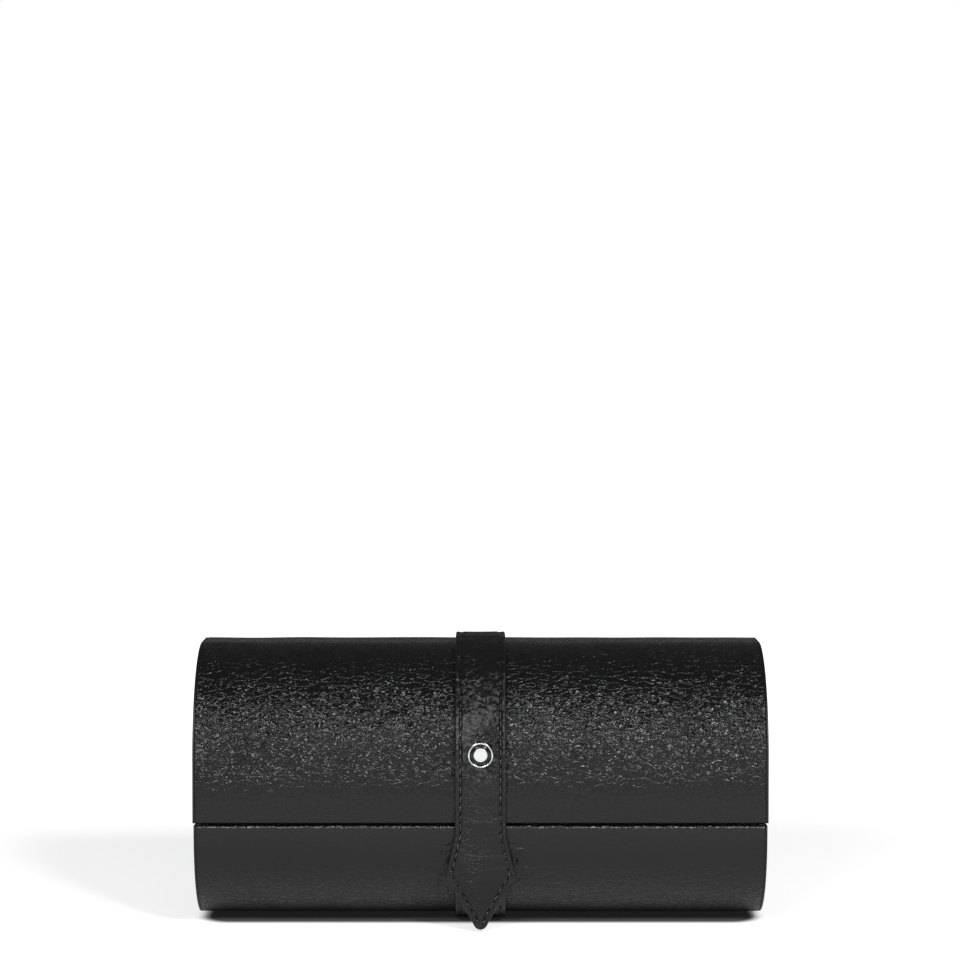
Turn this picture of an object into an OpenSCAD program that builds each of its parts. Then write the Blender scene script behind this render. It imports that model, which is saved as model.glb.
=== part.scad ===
// Travel case for three watches: a hinged, leather-covered box with a belt.
// X runs along the case, -Y is its front, +Z is up.
// The origin is on the ground, under the middle of the case.

/* [Case] */
// outside length of the lid, end to end
case_w = 190; // [150:1:230]
// outside depth, front to back
case_d = 86; // [80:1:104]
// height of the leather body, without the belt
case_h = 90.9; // [88:0.1:110]
// radius of the upper front and back curves
top_r = 36; // [28:0.5:39]
// radius of the lower front and back curves
bottom_r = 31; // [22:0.5:34]
// height of the seam above the underside of the body
seam_h = 33.9; // [30:0.1:42]
// open gap between lid and base at the seam
seam_gap = 0.8; // [0.4:0.1:1.4]
// how much shorter the base is than the lid at each end
base_step = 0.35; // [0:0.05:1]

/* [Walls] */
// grained leather of the outside
leather_t = 1.2; // [0.8:0.1:2]
// stiff board inside the walls
board_t = 2.6; // [1.8:0.1:4]
// suede lining with its backing
lining_t = 1.2; // [0.6:0.1:2]
// leather panel on each end
end_leather_t = 0.8; // [0.5:0.1:1.6]
// how far each end panel stays inside the body's outline
end_rim = 0.2; // [0.1:0.1:1.2]
// thinned leather turned over the board's rim at the seam
turn_in_t = 0.9; // [0.5:0.1:1.5]

/* [Collar] */
// thickness of the lip that guides the lid
collar_t = 1.5; // [1:0.1:2.5]
// how far the lip stands above the seam
collar_up = 3.4; // [2:0.2:5]
// how far the lip reaches down inside the base
collar_down = 8; // [4:0.5:14]
// clearance between the lip and the lid's lining
collar_clear = 0.4; // [0.4:0.1:0.8]

/* [Bays] */
// thickness of each divider between two pillows
divider_t = 4; // [2.5:0.5:7]
// height of the dividers above the underside of the body
divider_h = 42; // [34:1:44]
// radius of the dividers' upper corners
divider_r = 9; // [3:0.5:14]
// thickness of the pad on the base's floor
floor_pad_t = 2; // [1:0.5:4]
// thickness of the pad under the lid's crown
lid_pad_t = 3; // [1.5:0.5:5]
// how far down the lid's pad reaches, from the crown
lid_pad_drop = 24; // [12:1:30]
// how far the lid's pad stays from the end linings
lid_pad_side = 2; // [0.5:0.5:6]

/* [Pillows] */
// width of a watch pillow, along the case
pillow_w = 50; // [30:1:52]
// depth of a watch pillow, front to back
pillow_d = 62; // [46:1:64]
// height of a watch pillow
pillow_h = 52; // [40:1:56]
// how squarely the pillow's section is filled, 2 is an oval
pillow_full = 2.9; // [2.2:0.1:3.6]
// share of its section that a pillow's side is drawn in by
pillow_draw = 0.17; // [0.05:0.01:0.3]
// height of the pillow above the floor pad
pillow_clear = 0.3; // [0.2:0.1:0.6]

/* [Belt and strap] */
// width of the belt round the case and of the strap
strap_w = 17; // [12:0.5:20]
// outer layer of the belt and of the strap
strap_leather_t = 1; // [0.7:0.1:1.4]
// inner layer of the belt and of the strap
strap_lining_t = 1; // [0.9:0.1:1.4]
// running gap between the lifting strap and the lid
strap_clear = 0.3; // [0.2:0.05:0.6]
// where the strap starts to lift, in front of the crown's middle
strap_root = 8; // [2:0.5:14]
// gap between the lifting strap's end and the belt behind it
root_gap = 0.3; // [0.2:0.1:0.8]
// how far the belt stays off the hinge line, above and below
spine_gap = 4; // [4:0.5:8]
// clearance between the lower belt's hidden front end and the tongue
tongue_clear = 0.5; // [0.3:0.1:1.2]

/* [Tongue] */
// width of the tongue at its two points
tongue_w = 23.2; // [21:0.1:30]
// height of the tongue's points above the ground
tongue_corner_h = 19.3; // [14:0.1:22]
// height above the ground where the strap starts to widen
tongue_flare_h = 32.5; // [28:0.5:44]
// height of the tongue's tip above the ground
tongue_tip_h = 0.9; // [0.6:0.1:4]
// radius of the tongue's tip
tongue_tip_r = 2.4; // [1:0.1:3.5]
// how far the tongue's lower sides are hollowed
tongue_hollow = 0.3; // [0.1:0.1:1]
// height of the narrow flat at each of the tongue's points
point_flat = 0.3; // [0.1:0.1:1]
// height above the ground where the tongue starts to curl in
tongue_bend_h = 24; // [24:0.5:29]
// radius of the tongue's inward curl
tongue_bend_r = 90; // [60:5:300]

/* [Closure] */
// diameter of the magnet sewn into the tongue
magnet_d = 10; // [6:0.5:14]
// thickness of the magnet and of its counter-plate
magnet_t = 0.7; // [0.4:0.1:0.8]
// length of the steel counter-plate, down the belt
plate_l = 9; // [5:0.5:12]
// width of the steel counter-plate
plate_w = 11; // [6:0.5:11.5]
// leather left above the counter-plate at the belt's end
plate_edge = 1.6; // [1:0.1:3]

/* [Emblem] */
// outside diameter of the round metal emblem
emblem_d = 8.45; // [6:0.05:11]
// width of the emblem's bright ring
emblem_ring = 0.75; // [0.5:0.05:1.2]
// height of the emblem's middle above the ground
emblem_h = 59.2; // [48:0.2:60]
// how far the ring stands proud of the strap
emblem_proud = 0.5; // [0.2:0.05:0.9]
// how far the dark field lies below the ring
emblem_sink = 0.2; // [0.1:0.05:0.4]
// diameter of the plain disc on the dark field
emblem_dot_d = 4.6; // [2:0.1:5]
// diameter of the pin that holds the emblem
emblem_pin_d = 2.4; // [1.5:0.1:4]

/* [Hidden] */
strap_t = strap_leather_t + strap_lining_t;
foot_z = strap_t;
half_w = case_w / 2;
half_d = case_d / 2;
base_half_w = half_w - base_step;
crown_z = foot_z + case_h;
seam_z = foot_z + seam_h;
lid_z = seam_z + seam_gap / 2;
base_z = seam_z - seam_gap / 2;
wall_t = leather_t + board_t + lining_t;
end_t = end_leather_t + board_t + lining_t;
top_cy = half_d - top_r;
top_cz = crown_z - top_r;
bottom_cy = half_d - bottom_r;
bottom_cz = foot_z + bottom_r;
floor_z = foot_z + wall_t + floor_pad_t;
divider_z = foot_z + divider_h;
bay_w = (2 * (base_half_w - end_t - collar_t) - 2 * divider_t) / 3;
bay_pitch = bay_w + divider_t;
face_y = -half_d - strap_clear - strap_t;
seat_y = -half_d - strap_clear - strap_lining_t;
pillow_z = floor_z + pillow_clear;
// the lower belt ends where it would come too close behind the tongue
belt_end_z = bottom_cz - sqrt(pow(bottom_r + strap_t, 2)
  - pow(bottom_r + strap_clear - tongue_clear, 2));
plate_r = bottom_r + strap_lining_t;
plate_a0 = asin((bottom_cz - belt_end_z) / plate_r) + plate_edge / plate_r * 180 / PI;
plate_a1 = plate_a0 + plate_l / plate_r * 180 / PI;
magnet_z = bottom_cz - plate_r * sin((plate_a0 + plate_a1) / 2);
far = 400;
$fn = 144;

// ---- outlines in the Y-Z plane ----

// end view of the case, moved inwards by a given distance
module outline(inset) {
  rt = top_r - inset;
  rb = bottom_r - inset;
  for (s = [-1, 1]) {
    translate([s * top_cy, top_cz]) circle(r = rt);
    translate([s * bottom_cy, bottom_cz]) circle(r = rb);
  }
  translate([-top_cy, top_cz]) square([2 * top_cy, rt]);
  translate([-bottom_cy, bottom_cz - rb]) square([2 * bottom_cy, rb]);
  translate([inset - half_d, bottom_cz]) square([case_d - 2 * inset, top_cz - bottom_cz]);
}

// closed band between two insets of the end view
module band(from, to) {
  difference() {
    outline(from);
    outline(to);
  }
}

// everything between two heights
module heights(low, high) {
  translate([-far / 2, low]) square([far, high - low]);
}

// stretches a Y-Z outline along the case
module along_x(from, to) {
  translate([from, 0, 0])
    rotate([90, 0, 90])
      linear_extrude(height = to - from)
        children();
}

// the same piece of wall on lid and base, cut off at the seam
module wall(inset, thick, reach, low, high) {
  along_x(-reach, reach)
    intersection() {
      band(inset, inset + thick);
      heights(low, high);
    }
}

// a plate across one end; side is -1 at the left and 1 at the right
module end_plate(side, inset, reach, thick, low, high) {
  x0 = side < 0 ? -reach : reach - thick;
  along_x(x0, x0 + thick)
    intersection() {
      outline(inset);
      heights(low, high);
    }
}

// leather turned over the board, as a flat frame at the seam
module turned_rim(reach, low, high) {
  difference() {
    along_x(-(reach - end_leather_t), reach - end_leather_t)
      intersection() {
        outline(leather_t);
        heights(low, high);
      }
    along_x(-(reach - end_leather_t - board_t), reach - end_leather_t - board_t)
      intersection() {
        outline(leather_t + board_t);
        heights(low - 1, high + 1);
      }
  }
}

// body leather with its turned rim
module skin(reach, low, high, rim_low) {
  union() {
    wall(0, leather_t, reach - end_leather_t, low, high);
    turned_rim(reach, rim_low, rim_low + turn_in_t);
  }
}

// lining of one half: an open tray with closed ends
module lining(reach, low, high) {
  difference() {
    along_x(-(reach - end_leather_t - board_t), reach - end_leather_t - board_t)
      intersection() {
        outline(leather_t + board_t);
        heights(low, high);
      }
    along_x(-(reach - end_t), reach - end_t)
      outline(wall_t);
  }
}

// ---- belt and strap ----

// ring of the belt, between two distances outside the leather
module belt_ring(from, to) {
  difference() {
    outline(-to);
    outline(-from);
  }
}

// belt round the base, from its hidden front end to below the hinge
module belt_lower(from, to) {
  along_x(-strap_w / 2, strap_w / 2)
    intersection() {
      belt_ring(from, to);
      union() {
        translate([-far, -far]) square([far + 0.01, far + belt_end_z]);
        translate([0, -far]) square([far, far + seam_z - spine_gap]);
      }
    }
}

// belt over the lid, from above the hinge to the strap's root
module belt_back(from, to) {
  along_x(-strap_w / 2, strap_w / 2)
    intersection() {
      belt_ring(from, to);
      translate([root_gap / 2 - strap_root, seam_z + spine_gap]) square([far, far]);
    }
}

// side view of one layer of the strap: crown, straight front and curled tongue
module strap_side(from, to) {
  intersection() {
    belt_ring(from, to);
    translate([-far, top_cz]) square([far - strap_root - root_gap / 2, far]);
  }
  translate([-half_d - to, tongue_bend_h]) square([to - from, top_cz - tongue_bend_h]);
  intersection() {
    translate([tongue_bend_r - half_d, tongue_bend_h])
      difference() {
        circle(r = tongue_bend_r + to, $fn = 360);
        circle(r = tongue_bend_r + from, $fn = 360);
      }
    translate([-far / 2, -far / 8]) square([far / 2 - top_cy, far / 8 + tongue_bend_h]);
  }
}

// front view of the strap: parallel, flared to two points, then hollowed to a round tip
module strap_front() {
  hs = strap_w / 2;
  ht = tongue_w / 2;
  // each point keeps a narrow flat, as cut leather does
  high = tongue_corner_h + point_flat / 2;
  low = tongue_corner_h - point_flat / 2;
  tip = [0, tongue_tip_h + tongue_tip_r];
  // where a line from the right point touches the round tip
  away = norm([ht, low] - tip);
  aim = atan2(low - tip[1], ht) - acos(tongue_tip_r / away);
  normal = [cos(aim), sin(aim)];
  touch = tip + tongue_tip_r * normal;
  // the hollow is an arc through the point and the touching place
  chord = norm([ht, low] - touch);
  hollow_r = (chord * chord / 4 + tongue_hollow * tongue_hollow) / (2 * tongue_hollow);
  middle = ([ht, low] + touch) / 2 + (hollow_r - tongue_hollow) * normal;
  foot = tongue_tip_h - 1;
  difference() {
    polygon([[hs, far / 2], [hs, tongue_flare_h], [ht, high], [ht, low - 1],
             [touch[0] + 1, foot], [-touch[0] - 1, foot], [-ht, low - 1],
             [-ht, high], [-hs, tongue_flare_h], [-hs, far / 2]]);
    for (s = [-1, 1])
      translate([s * middle[0], middle[1]]) circle(r = hollow_r, $fn = 360);
    difference() {
      translate([-ht, foot - 1]) square([tongue_w, touch[1] - foot + 1]);
      translate(tip) circle(r = tongue_tip_r);
    }
  }
}

// one layer of the strap, seen from both sides
module strap_layer(from, to) {
  intersection() {
    along_x(-tongue_w, tongue_w) strap_side(from, to);
    rotate([90, 0, 0]) linear_extrude(height = far / 2) strap_front();
  }
}

// round bar along Y through the emblem's middle
module emblem_bar(d, from_y, length) {
  translate([0, from_y, emblem_h])
    rotate([90, 0, 0])
      cylinder(d = d, h = length);
}

// flat magnet between the tongue's curled layers, level with the counter-plate
module magnet(grow) {
  r = tongue_bend_r + strap_clear + strap_lining_t;
  // the flat disc's rim would cut into the curled leather by this much
  rise = magnet_d * magnet_d / 8 / r + 0.03;
  tilt = asin((tongue_bend_h - magnet_z) / r);
  translate([0, tongue_bend_r - half_d, tongue_bend_h])
    rotate([tilt, 0, 0])
      translate([0, rise - r - grow, 0])
        rotate([-90, 0, 0])
          cylinder(d = magnet_d, h = magnet_t + grow);
}

// curved steel plate under the lower belt's front end
module plate(grow) {
  along_x(-plate_w / 2, plate_w / 2)
    translate([-bottom_cy, bottom_cz])
      intersection() {
        difference() {
          circle(r = plate_r + grow);
          circle(r = plate_r - magnet_t);
        }
        polygon([[0, 0], 2 * plate_r * [-cos(plate_a0), -sin(plate_a0)],
                 2 * plate_r * [-cos(plate_a1), -sin(plate_a1)]]);
      }
}

// ---- pillow ----

// point of the pillow's section, filled out towards its corners
function section(t, a, b, n) = [
  a * sign(cos(t)) * pow(abs(cos(t)), 2 / n),
  b * sign(sin(t)) * pow(abs(sin(t)), 2 / n)];

// share of the full section at a place along the pillow, from -1 to 1
function crown(s) = 1 - pillow_draw * pow(abs(s), 4) - pillow_draw / 4 * pow(abs(s), 16);

// padded block with a crowned top, drawn-in sides and a flat foot
module pillow_form() {
  rings = 14;
  sides = 40;
  a = pillow_d / 2;
  b = pillow_h / 2 + 0.25;
  points = [for (i = [0:rings])
    let (u = -cos(180 * i / rings))
    let (k = crown(u))
    for (j = [0:sides - 1])
      let (p = section(360 * (j + 0.5) / sides, a * k, b * k, pillow_full))
      [u * pillow_w / 2, p[0], max(p[1], -pillow_h / 2)]];
  wall_faces = [for (i = [0:rings - 1])
    for (j = [0:sides - 1])
      let (a0 = i * sides + j)
      let (a1 = i * sides + (j + 1) % sides)
      for (f = [[a0, a0 + sides, a1], [a1, a0 + sides, a1 + sides]])
        f];
  left_cap = [for (j = [1:sides - 2]) [0, j, j + 1]];
  right_cap = [for (j = [1:sides - 2]) [rings * sides, rings * sides + j + 1, rings * sides + j]];
  polyhedron(points = points, faces = concat(wall_faces, left_cap, right_cap));
}

module pillow(place) {
  color("#8d8377")
    translate([place * bay_pitch, 0, pillow_z + pillow_h / 2])
      pillow_form();
}

// ---- base ----

module base_board() {
  color("#7c7468")
    wall(leather_t, board_t, base_half_w - end_leather_t - board_t, -far, base_z - turn_in_t);
}

module base_end_board(side) {
  color("#857c6f")
    end_plate(side, leather_t, base_half_w - end_leather_t, board_t, -far, base_z - turn_in_t);
}

module base_end_board_left() {
  base_end_board(-1);
}

module base_end_board_right() {
  base_end_board(1);
}

module base_leather() {
  color("#2a2a2b")
    skin(base_half_w, -far, base_z, base_z - turn_in_t);
}

module base_end_leather(side) {
  color("#343233")
    end_plate(side, end_rim, base_half_w, end_leather_t, -far, base_z);
}

module base_end_leather_left() {
  base_end_leather(-1);
}

module base_end_leather_right() {
  base_end_leather(1);
}

module base_lining() {
  color("#9a9084")
    lining(base_half_w, -far, base_z);
}

module base_collar() {
  inner = base_half_w - end_t - collar_t;
  color("#a59b8e")
    difference() {
      union() {
        along_x(-(base_half_w - end_t), base_half_w - end_t)
          intersection() {
            outline(wall_t);
            heights(base_z - collar_down, base_z);
          }
        along_x(-(base_half_w - end_t - collar_clear), base_half_w - end_t - collar_clear)
          intersection() {
            outline(wall_t + collar_clear);
            heights(base_z - 0.5, seam_z + collar_up);
          }
      }
      along_x(-inner, inner)
        outline(wall_t + collar_t);
    }
}

module floor_pad() {
  color("#948a7e")
    along_x(-(base_half_w - end_t), base_half_w - end_t)
      intersection() {
        outline(wall_t);
        heights(0, floor_z);
      }
}

// divider across the base, notched round the collar
module divider(side) {
  x = side * bay_pitch / 2;
  w = case_d - 2 * (wall_t + collar_t);
  color("#a0968a")
    along_x(x - divider_t / 2, x + divider_t / 2) {
      intersection() {
        outline(wall_t);
        heights(floor_z, base_z - collar_down);
      }
      intersection() {
        outline(wall_t + collar_t);
        union() {
          heights(base_z - collar_down, divider_z - divider_r);
          translate([divider_r - w / 2, 0]) square([w - 2 * divider_r, divider_z]);
          for (s = [-1, 1])
            translate([s * (w / 2 - divider_r), divider_z - divider_r]) circle(r = divider_r);
        }
        heights(base_z - collar_down, divider_z);
      }
    }
}

module divider_left() {
  divider(-1);
}

module divider_right() {
  divider(1);
}

module belt_lower_leather() {
  color("#3a393a")
    belt_lower(strap_lining_t, strap_t);
}

module belt_lower_lining() {
  color("#4d4a48")
    difference() {
      belt_lower(0, strap_lining_t);
      plate(0.2);
    }
}

module closure_plate() {
  color("#b4b6b8")
    plate(0);
}

// ---- lid ----

module lid_board() {
  color("#776f63")
    wall(leather_t, board_t, half_w - end_leather_t - board_t, lid_z + turn_in_t, far);
}

module lid_end_board(side) {
  color("#80776a")
    end_plate(side, leather_t, half_w - end_leather_t, board_t, lid_z + turn_in_t, far);
}

module lid_end_board_left() {
  lid_end_board(-1);
}

module lid_end_board_right() {
  lid_end_board(1);
}

module lid_leather() {
  color("#262627")
    skin(half_w, lid_z, far, lid_z);
}

module lid_end_leather(side) {
  color("#302e2f")
    end_plate(side, end_rim, half_w, end_leather_t, lid_z, far);
}

module lid_end_leather_left() {
  lid_end_leather(-1);
}

module lid_end_leather_right() {
  lid_end_leather(1);
}

module lid_lining() {
  color("#968c80")
    lining(half_w, lid_z, far);
}

module lid_pad() {
  color("#aaa093")
    wall(wall_t, lid_pad_t, half_w - end_t - lid_pad_side, crown_z - wall_t - lid_pad_drop, far);
}

module belt_back_leather() {
  color("#3c3b3c")
    belt_back(strap_lining_t, strap_t);
}

module belt_back_lining() {
  color("#4b4846")
    belt_back(0, strap_lining_t);
}

// ---- strap ----

module strap_leather() {
  color("#414041")
    difference() {
      strap_layer(strap_clear + strap_lining_t, strap_clear + strap_t);
      emblem_bar(emblem_d, 0, 2 * half_d);
    }
}

module strap_lining() {
  color("#55504c")
    difference() {
      strap_layer(strap_clear, strap_clear + strap_lining_t);
      magnet(1);
      emblem_bar(emblem_pin_d, 0, 2 * half_d);
    }
}

module tongue_magnet() {
  color("#a9adb2")
    magnet(0);
}

// bright ring with a half-round edge
module emblem_bezel() {
  high = seat_y - face_y + emblem_proud - emblem_ring / 2;
  color("#d9dbdd")
    translate([0, seat_y, emblem_h])
      rotate([90, 0, 0])
        rotate_extrude() {
          translate([emblem_d / 2 - emblem_ring, 0]) square([emblem_ring, high]);
          translate([(emblem_d - emblem_ring) / 2, high]) circle(d = emblem_ring);
        }
}

module emblem_field() {
  color("#101114")
    emblem_bar(emblem_d - 2 * emblem_ring, seat_y,
               seat_y - face_y + emblem_proud - emblem_sink);
}

module emblem_dot() {
  color("#e6e7e8")
    emblem_bar(emblem_dot_d, face_y - emblem_proud + emblem_sink, emblem_sink);
}

module emblem_pin() {
  color("#c3c5c7")
    emblem_bar(emblem_pin_d, seat_y + strap_lining_t, strap_lining_t);
}

// ---- pillows ----

module pillow_left() {
  pillow(-1);
}

module pillow_middle() {
  pillow(0);
}

module pillow_right() {
  pillow(1);
}

base_board();
base_end_board_left();
base_end_board_right();
base_leather();
base_end_leather_left();
base_end_leather_right();
base_lining();
base_collar();
floor_pad();
divider_left();
divider_right();
belt_lower_leather();
belt_lower_lining();
closure_plate();
lid_board();
lid_end_board_left();
lid_end_board_right();
lid_leather();
lid_end_leather_left();
lid_end_leather_right();
lid_lining();
lid_pad();
belt_back_leather();
belt_back_lining();
strap_leather();
strap_lining();
tongue_magnet();
emblem_bezel();
emblem_field();
emblem_dot();
emblem_pin();
pillow_left();
pillow_middle();
pillow_right();
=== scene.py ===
"""Looks of a leather travel case for three watches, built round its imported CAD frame.

Sizes are in millimetres until a mesh is made; Blender's own units are metres.
X runs along the case, -Y is its front and +Z is up. The ground is at Z = 0.
"""
import logging
import math
from dataclasses import dataclass, field
from enum import Enum
from typing import Callable, Optional, Sequence, Union

import bmesh
import bpy
import numpy as np
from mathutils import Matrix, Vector
from mathutils.bvhtree import BVHTree


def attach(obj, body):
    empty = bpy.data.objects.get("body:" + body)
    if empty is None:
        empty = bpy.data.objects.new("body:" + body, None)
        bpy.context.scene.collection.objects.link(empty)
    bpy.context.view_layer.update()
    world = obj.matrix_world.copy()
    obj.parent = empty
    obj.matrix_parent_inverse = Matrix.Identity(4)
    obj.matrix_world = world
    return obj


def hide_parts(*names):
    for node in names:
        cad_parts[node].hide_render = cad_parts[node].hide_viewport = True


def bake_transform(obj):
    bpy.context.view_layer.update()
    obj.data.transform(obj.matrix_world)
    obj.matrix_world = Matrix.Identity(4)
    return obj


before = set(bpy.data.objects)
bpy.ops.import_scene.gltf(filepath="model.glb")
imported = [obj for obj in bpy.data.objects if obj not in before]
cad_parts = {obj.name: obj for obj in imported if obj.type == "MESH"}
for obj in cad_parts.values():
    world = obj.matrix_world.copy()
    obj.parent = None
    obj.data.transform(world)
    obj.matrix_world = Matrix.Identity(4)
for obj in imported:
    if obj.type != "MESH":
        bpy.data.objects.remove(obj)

LOG = logging.getLogger("watch_case")
MM = 0.001
Point2 = tuple[float, float]
Point3 = tuple[float, float, float]
Colour = tuple[float, float, float, float]
Socket = bpy.types.NodeSocket
Feed = Union[Socket, float, Sequence[float]]
Links = dict[Union[str, int], object]


# ---------------------------------------------------------------- colours and nodes


def linear(hex_colour: str) -> Colour:
    """Turns an sRGB hex colour into Blender's linear colour.

    Args:
        hex_colour: The colour as "#rrggbb".

    Returns:
        Linear red, green, blue and an alpha of 1.
    """
    parts = [int(hex_colour[i:i + 2], 16) / 255 for i in (1, 3, 5)]
    low = [c / 12.92 if c <= 0.04045 else ((c + 0.055) / 1.055) ** 2.4 for c in parts]
    return (low[0], low[1], low[2], 1.0)


def add_node(tree: bpy.types.NodeTree, kind: str, links: Optional[Links] = None,
             **settings: object) -> bpy.types.Node:
    """Adds one node, sets it up and links it.

    Args:
        tree: The tree that gets the node.
        kind: The node's type name.
        links: Input name or index to a value, or to the output socket that feeds it.
        settings: The node's own properties.

    Returns:
        The new node.
    """
    node = tree.nodes.new(kind)
    for name, value in settings.items():
        setattr(node, name, value)
    for key, value in (links or {}).items():
        socket = node.inputs[key]
        if isinstance(value, Socket):
            tree.links.new(value, socket)
        else:
            socket.default_value = value
    return node


@dataclass
class Bench:
    """A node tree at work, with short names for the nodes that the finishes share.

    Each method adds one node or one small group, and returns the socket that holds its result.
    Patterns are sized in millimetres; places are in metres.
    """

    tree: bpy.types.NodeTree
    shader: Optional[bpy.types.Node] = None

    @classmethod
    def cleared(cls, owner: Union[bpy.types.Material, bpy.types.World]) -> "Bench":
        """Empties the node tree of a material or a world and sets to work on it."""
        owner.use_nodes = True
        owner.node_tree.nodes.clear()
        return cls(owner.node_tree)

    def add(self, kind: str, links: Optional[Links] = None,
            **settings: object) -> bpy.types.bpy_prop_collection:
        """Adds one node as add_node does, and returns its outputs."""
        return add_node(self.tree, kind, links, **settings).outputs

    def feed(self, name: str, socket: Socket) -> None:
        """Links a socket to one of the shader's inputs."""
        self.tree.links.new(socket, self.shader.inputs[name])

    def hide(self) -> Socket:
        """Place on the flat hide, from the leather's own UV map."""
        return self.add("ShaderNodeUVMap", uv_map="hide")[0]

    def place(self) -> Socket:
        """Place on the piece, from its Object coordinates."""
        return self.add("ShaderNodeTexCoord")["Object"]

    def height(self) -> Socket:
        """Height above the ground."""
        return self.add("ShaderNodeSeparateXYZ", {0: self.place()})["Z"]

    def math(self, operation: str, first: Feed, second: Feed) -> Socket:
        """Works out one sum of two numbers."""
        return self.add("ShaderNodeMath", {0: first, 1: second}, operation=operation)[0]

    def vector(self, operation: str, first: Feed, second: Feed = (0.0, 0.0, 0.0), **more: Feed) -> Socket:
        """Works out one sum of vectors."""
        outputs = self.add("ShaderNodeVectorMath", {0: first, 1: second, **more}, operation=operation)
        return outputs["Value" if operation in ("DISTANCE", "LENGTH") else "Vector"]

    def mix(self, share: Feed, first: Feed, second: Feed) -> Socket:
        """Mixes two numbers."""
        return self.add("ShaderNodeMix", {"Factor": share, 2: first, 3: second})[0]

    def blend(self, share: Feed, first: Feed, second: Feed) -> Socket:
        """Mixes two colours."""
        return self.add("ShaderNodeMix", {"Factor": share, 6: first, 7: second}, data_type="RGBA")[2]

    def ramp(self, value: Feed, start: Point2 = (0.0, 1.0), end: Point2 = (0.0, 1.0),
             smooth: bool = False) -> Socket:
        """Carries a value over from one range to another and holds it there.

        Args:
            value: The value.
            start: The range that it comes from.
            end: The range that it goes to.
            smooth: Whether it eases in and out.

        Returns:
            The new value.
        """
        links = {"Value": value, 1: start[0], 2: start[1], 3: end[0], 4: end[1]}
        kind = "SMOOTHSTEP" if smooth else "LINEAR"
        return self.add("ShaderNodeMapRange", links, interpolation_type=kind)[0]

    def noise(self, place: Socket, size_mm: float, detail: float = 2.0, out: str = "Fac", flat: bool = True,
              **more: float) -> Socket:
        """Adds cloudy noise.

        Args:
            place: Where it is looked up.
            size_mm: Size of a cloud.
            detail: Finer clouds within it.
            out: "Fac" for a number or "Color" for three.
            flat: Whether the place is flat, as on a hide.
            more: The node's other inputs.

        Returns:
            The noise.
        """
        links = {"Vector": place, "Scale": 1 / (size_mm * MM), "Detail": detail, **more}
        return self.add("ShaderNodeTexNoise", links, noise_dimensions="2D" if flat else "3D")[out]

    def cells(self, place: Socket, size_mm: float, out: str = "Distance") -> Socket:
        """Splits the hide into cells, and gives the distance to the cell's edge or the cell's own "Color"."""
        feature = "F1" if out == "Color" else "DISTANCE_TO_EDGE"
        links = {"Vector": place, "Scale": 1 / (size_mm * MM)}
        return self.add("ShaderNodeTexVoronoi", links, feature=feature, voronoi_dimensions="2D")[out]

    def laid(self, place: Socket, turn: float, stretch: float, shift: Point2 = (0.0, 0.0)) -> Socket:
        """Turns, stretches and shifts a place on the hide."""
        links = {"Vector": place, "Location": (*shift, 0.0), "Rotation": (0.0, 0.0, turn),
                 "Scale": (stretch, 1.0, 1.0)}
        return self.add("ShaderNodeMapping", links)[0]

    def drift(self, place: Socket, hide: Socket, size_mm: float, push_mm: float,
              detail: float = 2.0) -> Socket:
        """Pushes a place to and fro, so that no net on it looks ruled.

        Args:
            place: The place.
            hide: Where the push is looked up.
            size_mm: Size of a swerve.
            push_mm: Twice the longest push.
            detail: Finer swerves within it.

        Returns:
            The pushed place.
        """
        centred = self.vector("SUBTRACT", self.noise(hide, size_mm, detail, "Color"), (0.5, 0.5, 0.5))
        return self.vector("ADD", place, self.vector("SCALE", centred, Scale=push_mm * MM))

    def relief(self, height: Socket, depth_mm: float, below: Optional[Socket] = None,
               share: Feed = 1.0) -> Socket:
        """Turns a height from 0 to 1 into relief.

        Args:
            height: The height.
            depth_mm: The real depth that 1 stands for.
            below: The normal of relief under this one.
            share: How much of the relief is there, from 0 to 1.

        Returns:
            The normal.
        """
        links = {"Height": height, "Strength": share, "Distance": depth_mm * MM}
        if below is not None:
            links["Normal"] = below
        return self.add("ShaderNodeBump", links)["Normal"]

    def facets(self, place: Socket, share: Socket, size_mm: float, lean: float, slant: float = 0.8) -> Socket:
        """Lays small flat faces in the grain, where each leans its own way and so glints alone.

        Args:
            place: The place on the hide.
            share: How far the faces lean, from 0 to 1.
            size_mm: Width of a face.
            lean: Steepest lean, as a slope.
            slant: Angle of the faces to the hide's length.

        Returns:
            The normal.
        """
        laid = [self.laid(place, slant * way, 0.6, (0.017 * way, 0.01)) for way in (1, -1)]
        leans = [self.cells(turned, size_mm, "Color") for turned in laid]
        even = self.vector("SUBTRACT", self.vector("ADD", *leans), (1.0, 1.0, 1.0))
        slopes = {0: even, 1: (0.3 * lean, 0.5 * lean, 0.0), 2: (0.5, 0.5, 1.0)}
        aimed = self.add("ShaderNodeVectorMath", slopes, operation="MULTIPLY_ADD")[0]
        return self.add("ShaderNodeNormalMap", {"Color": aimed, "Strength": share}, uv_map="hide")[0]

    def gloss(self, value: Socket, roughness: float, less: float, more: float) -> None:
        """Lets the shader's roughness follow a value from 0 to 1."""
        self.feed("Roughness", self.ramp(value, end=(roughness - less, roughness + more)))


# ---------------------------------------------------------------- finishes


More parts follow.
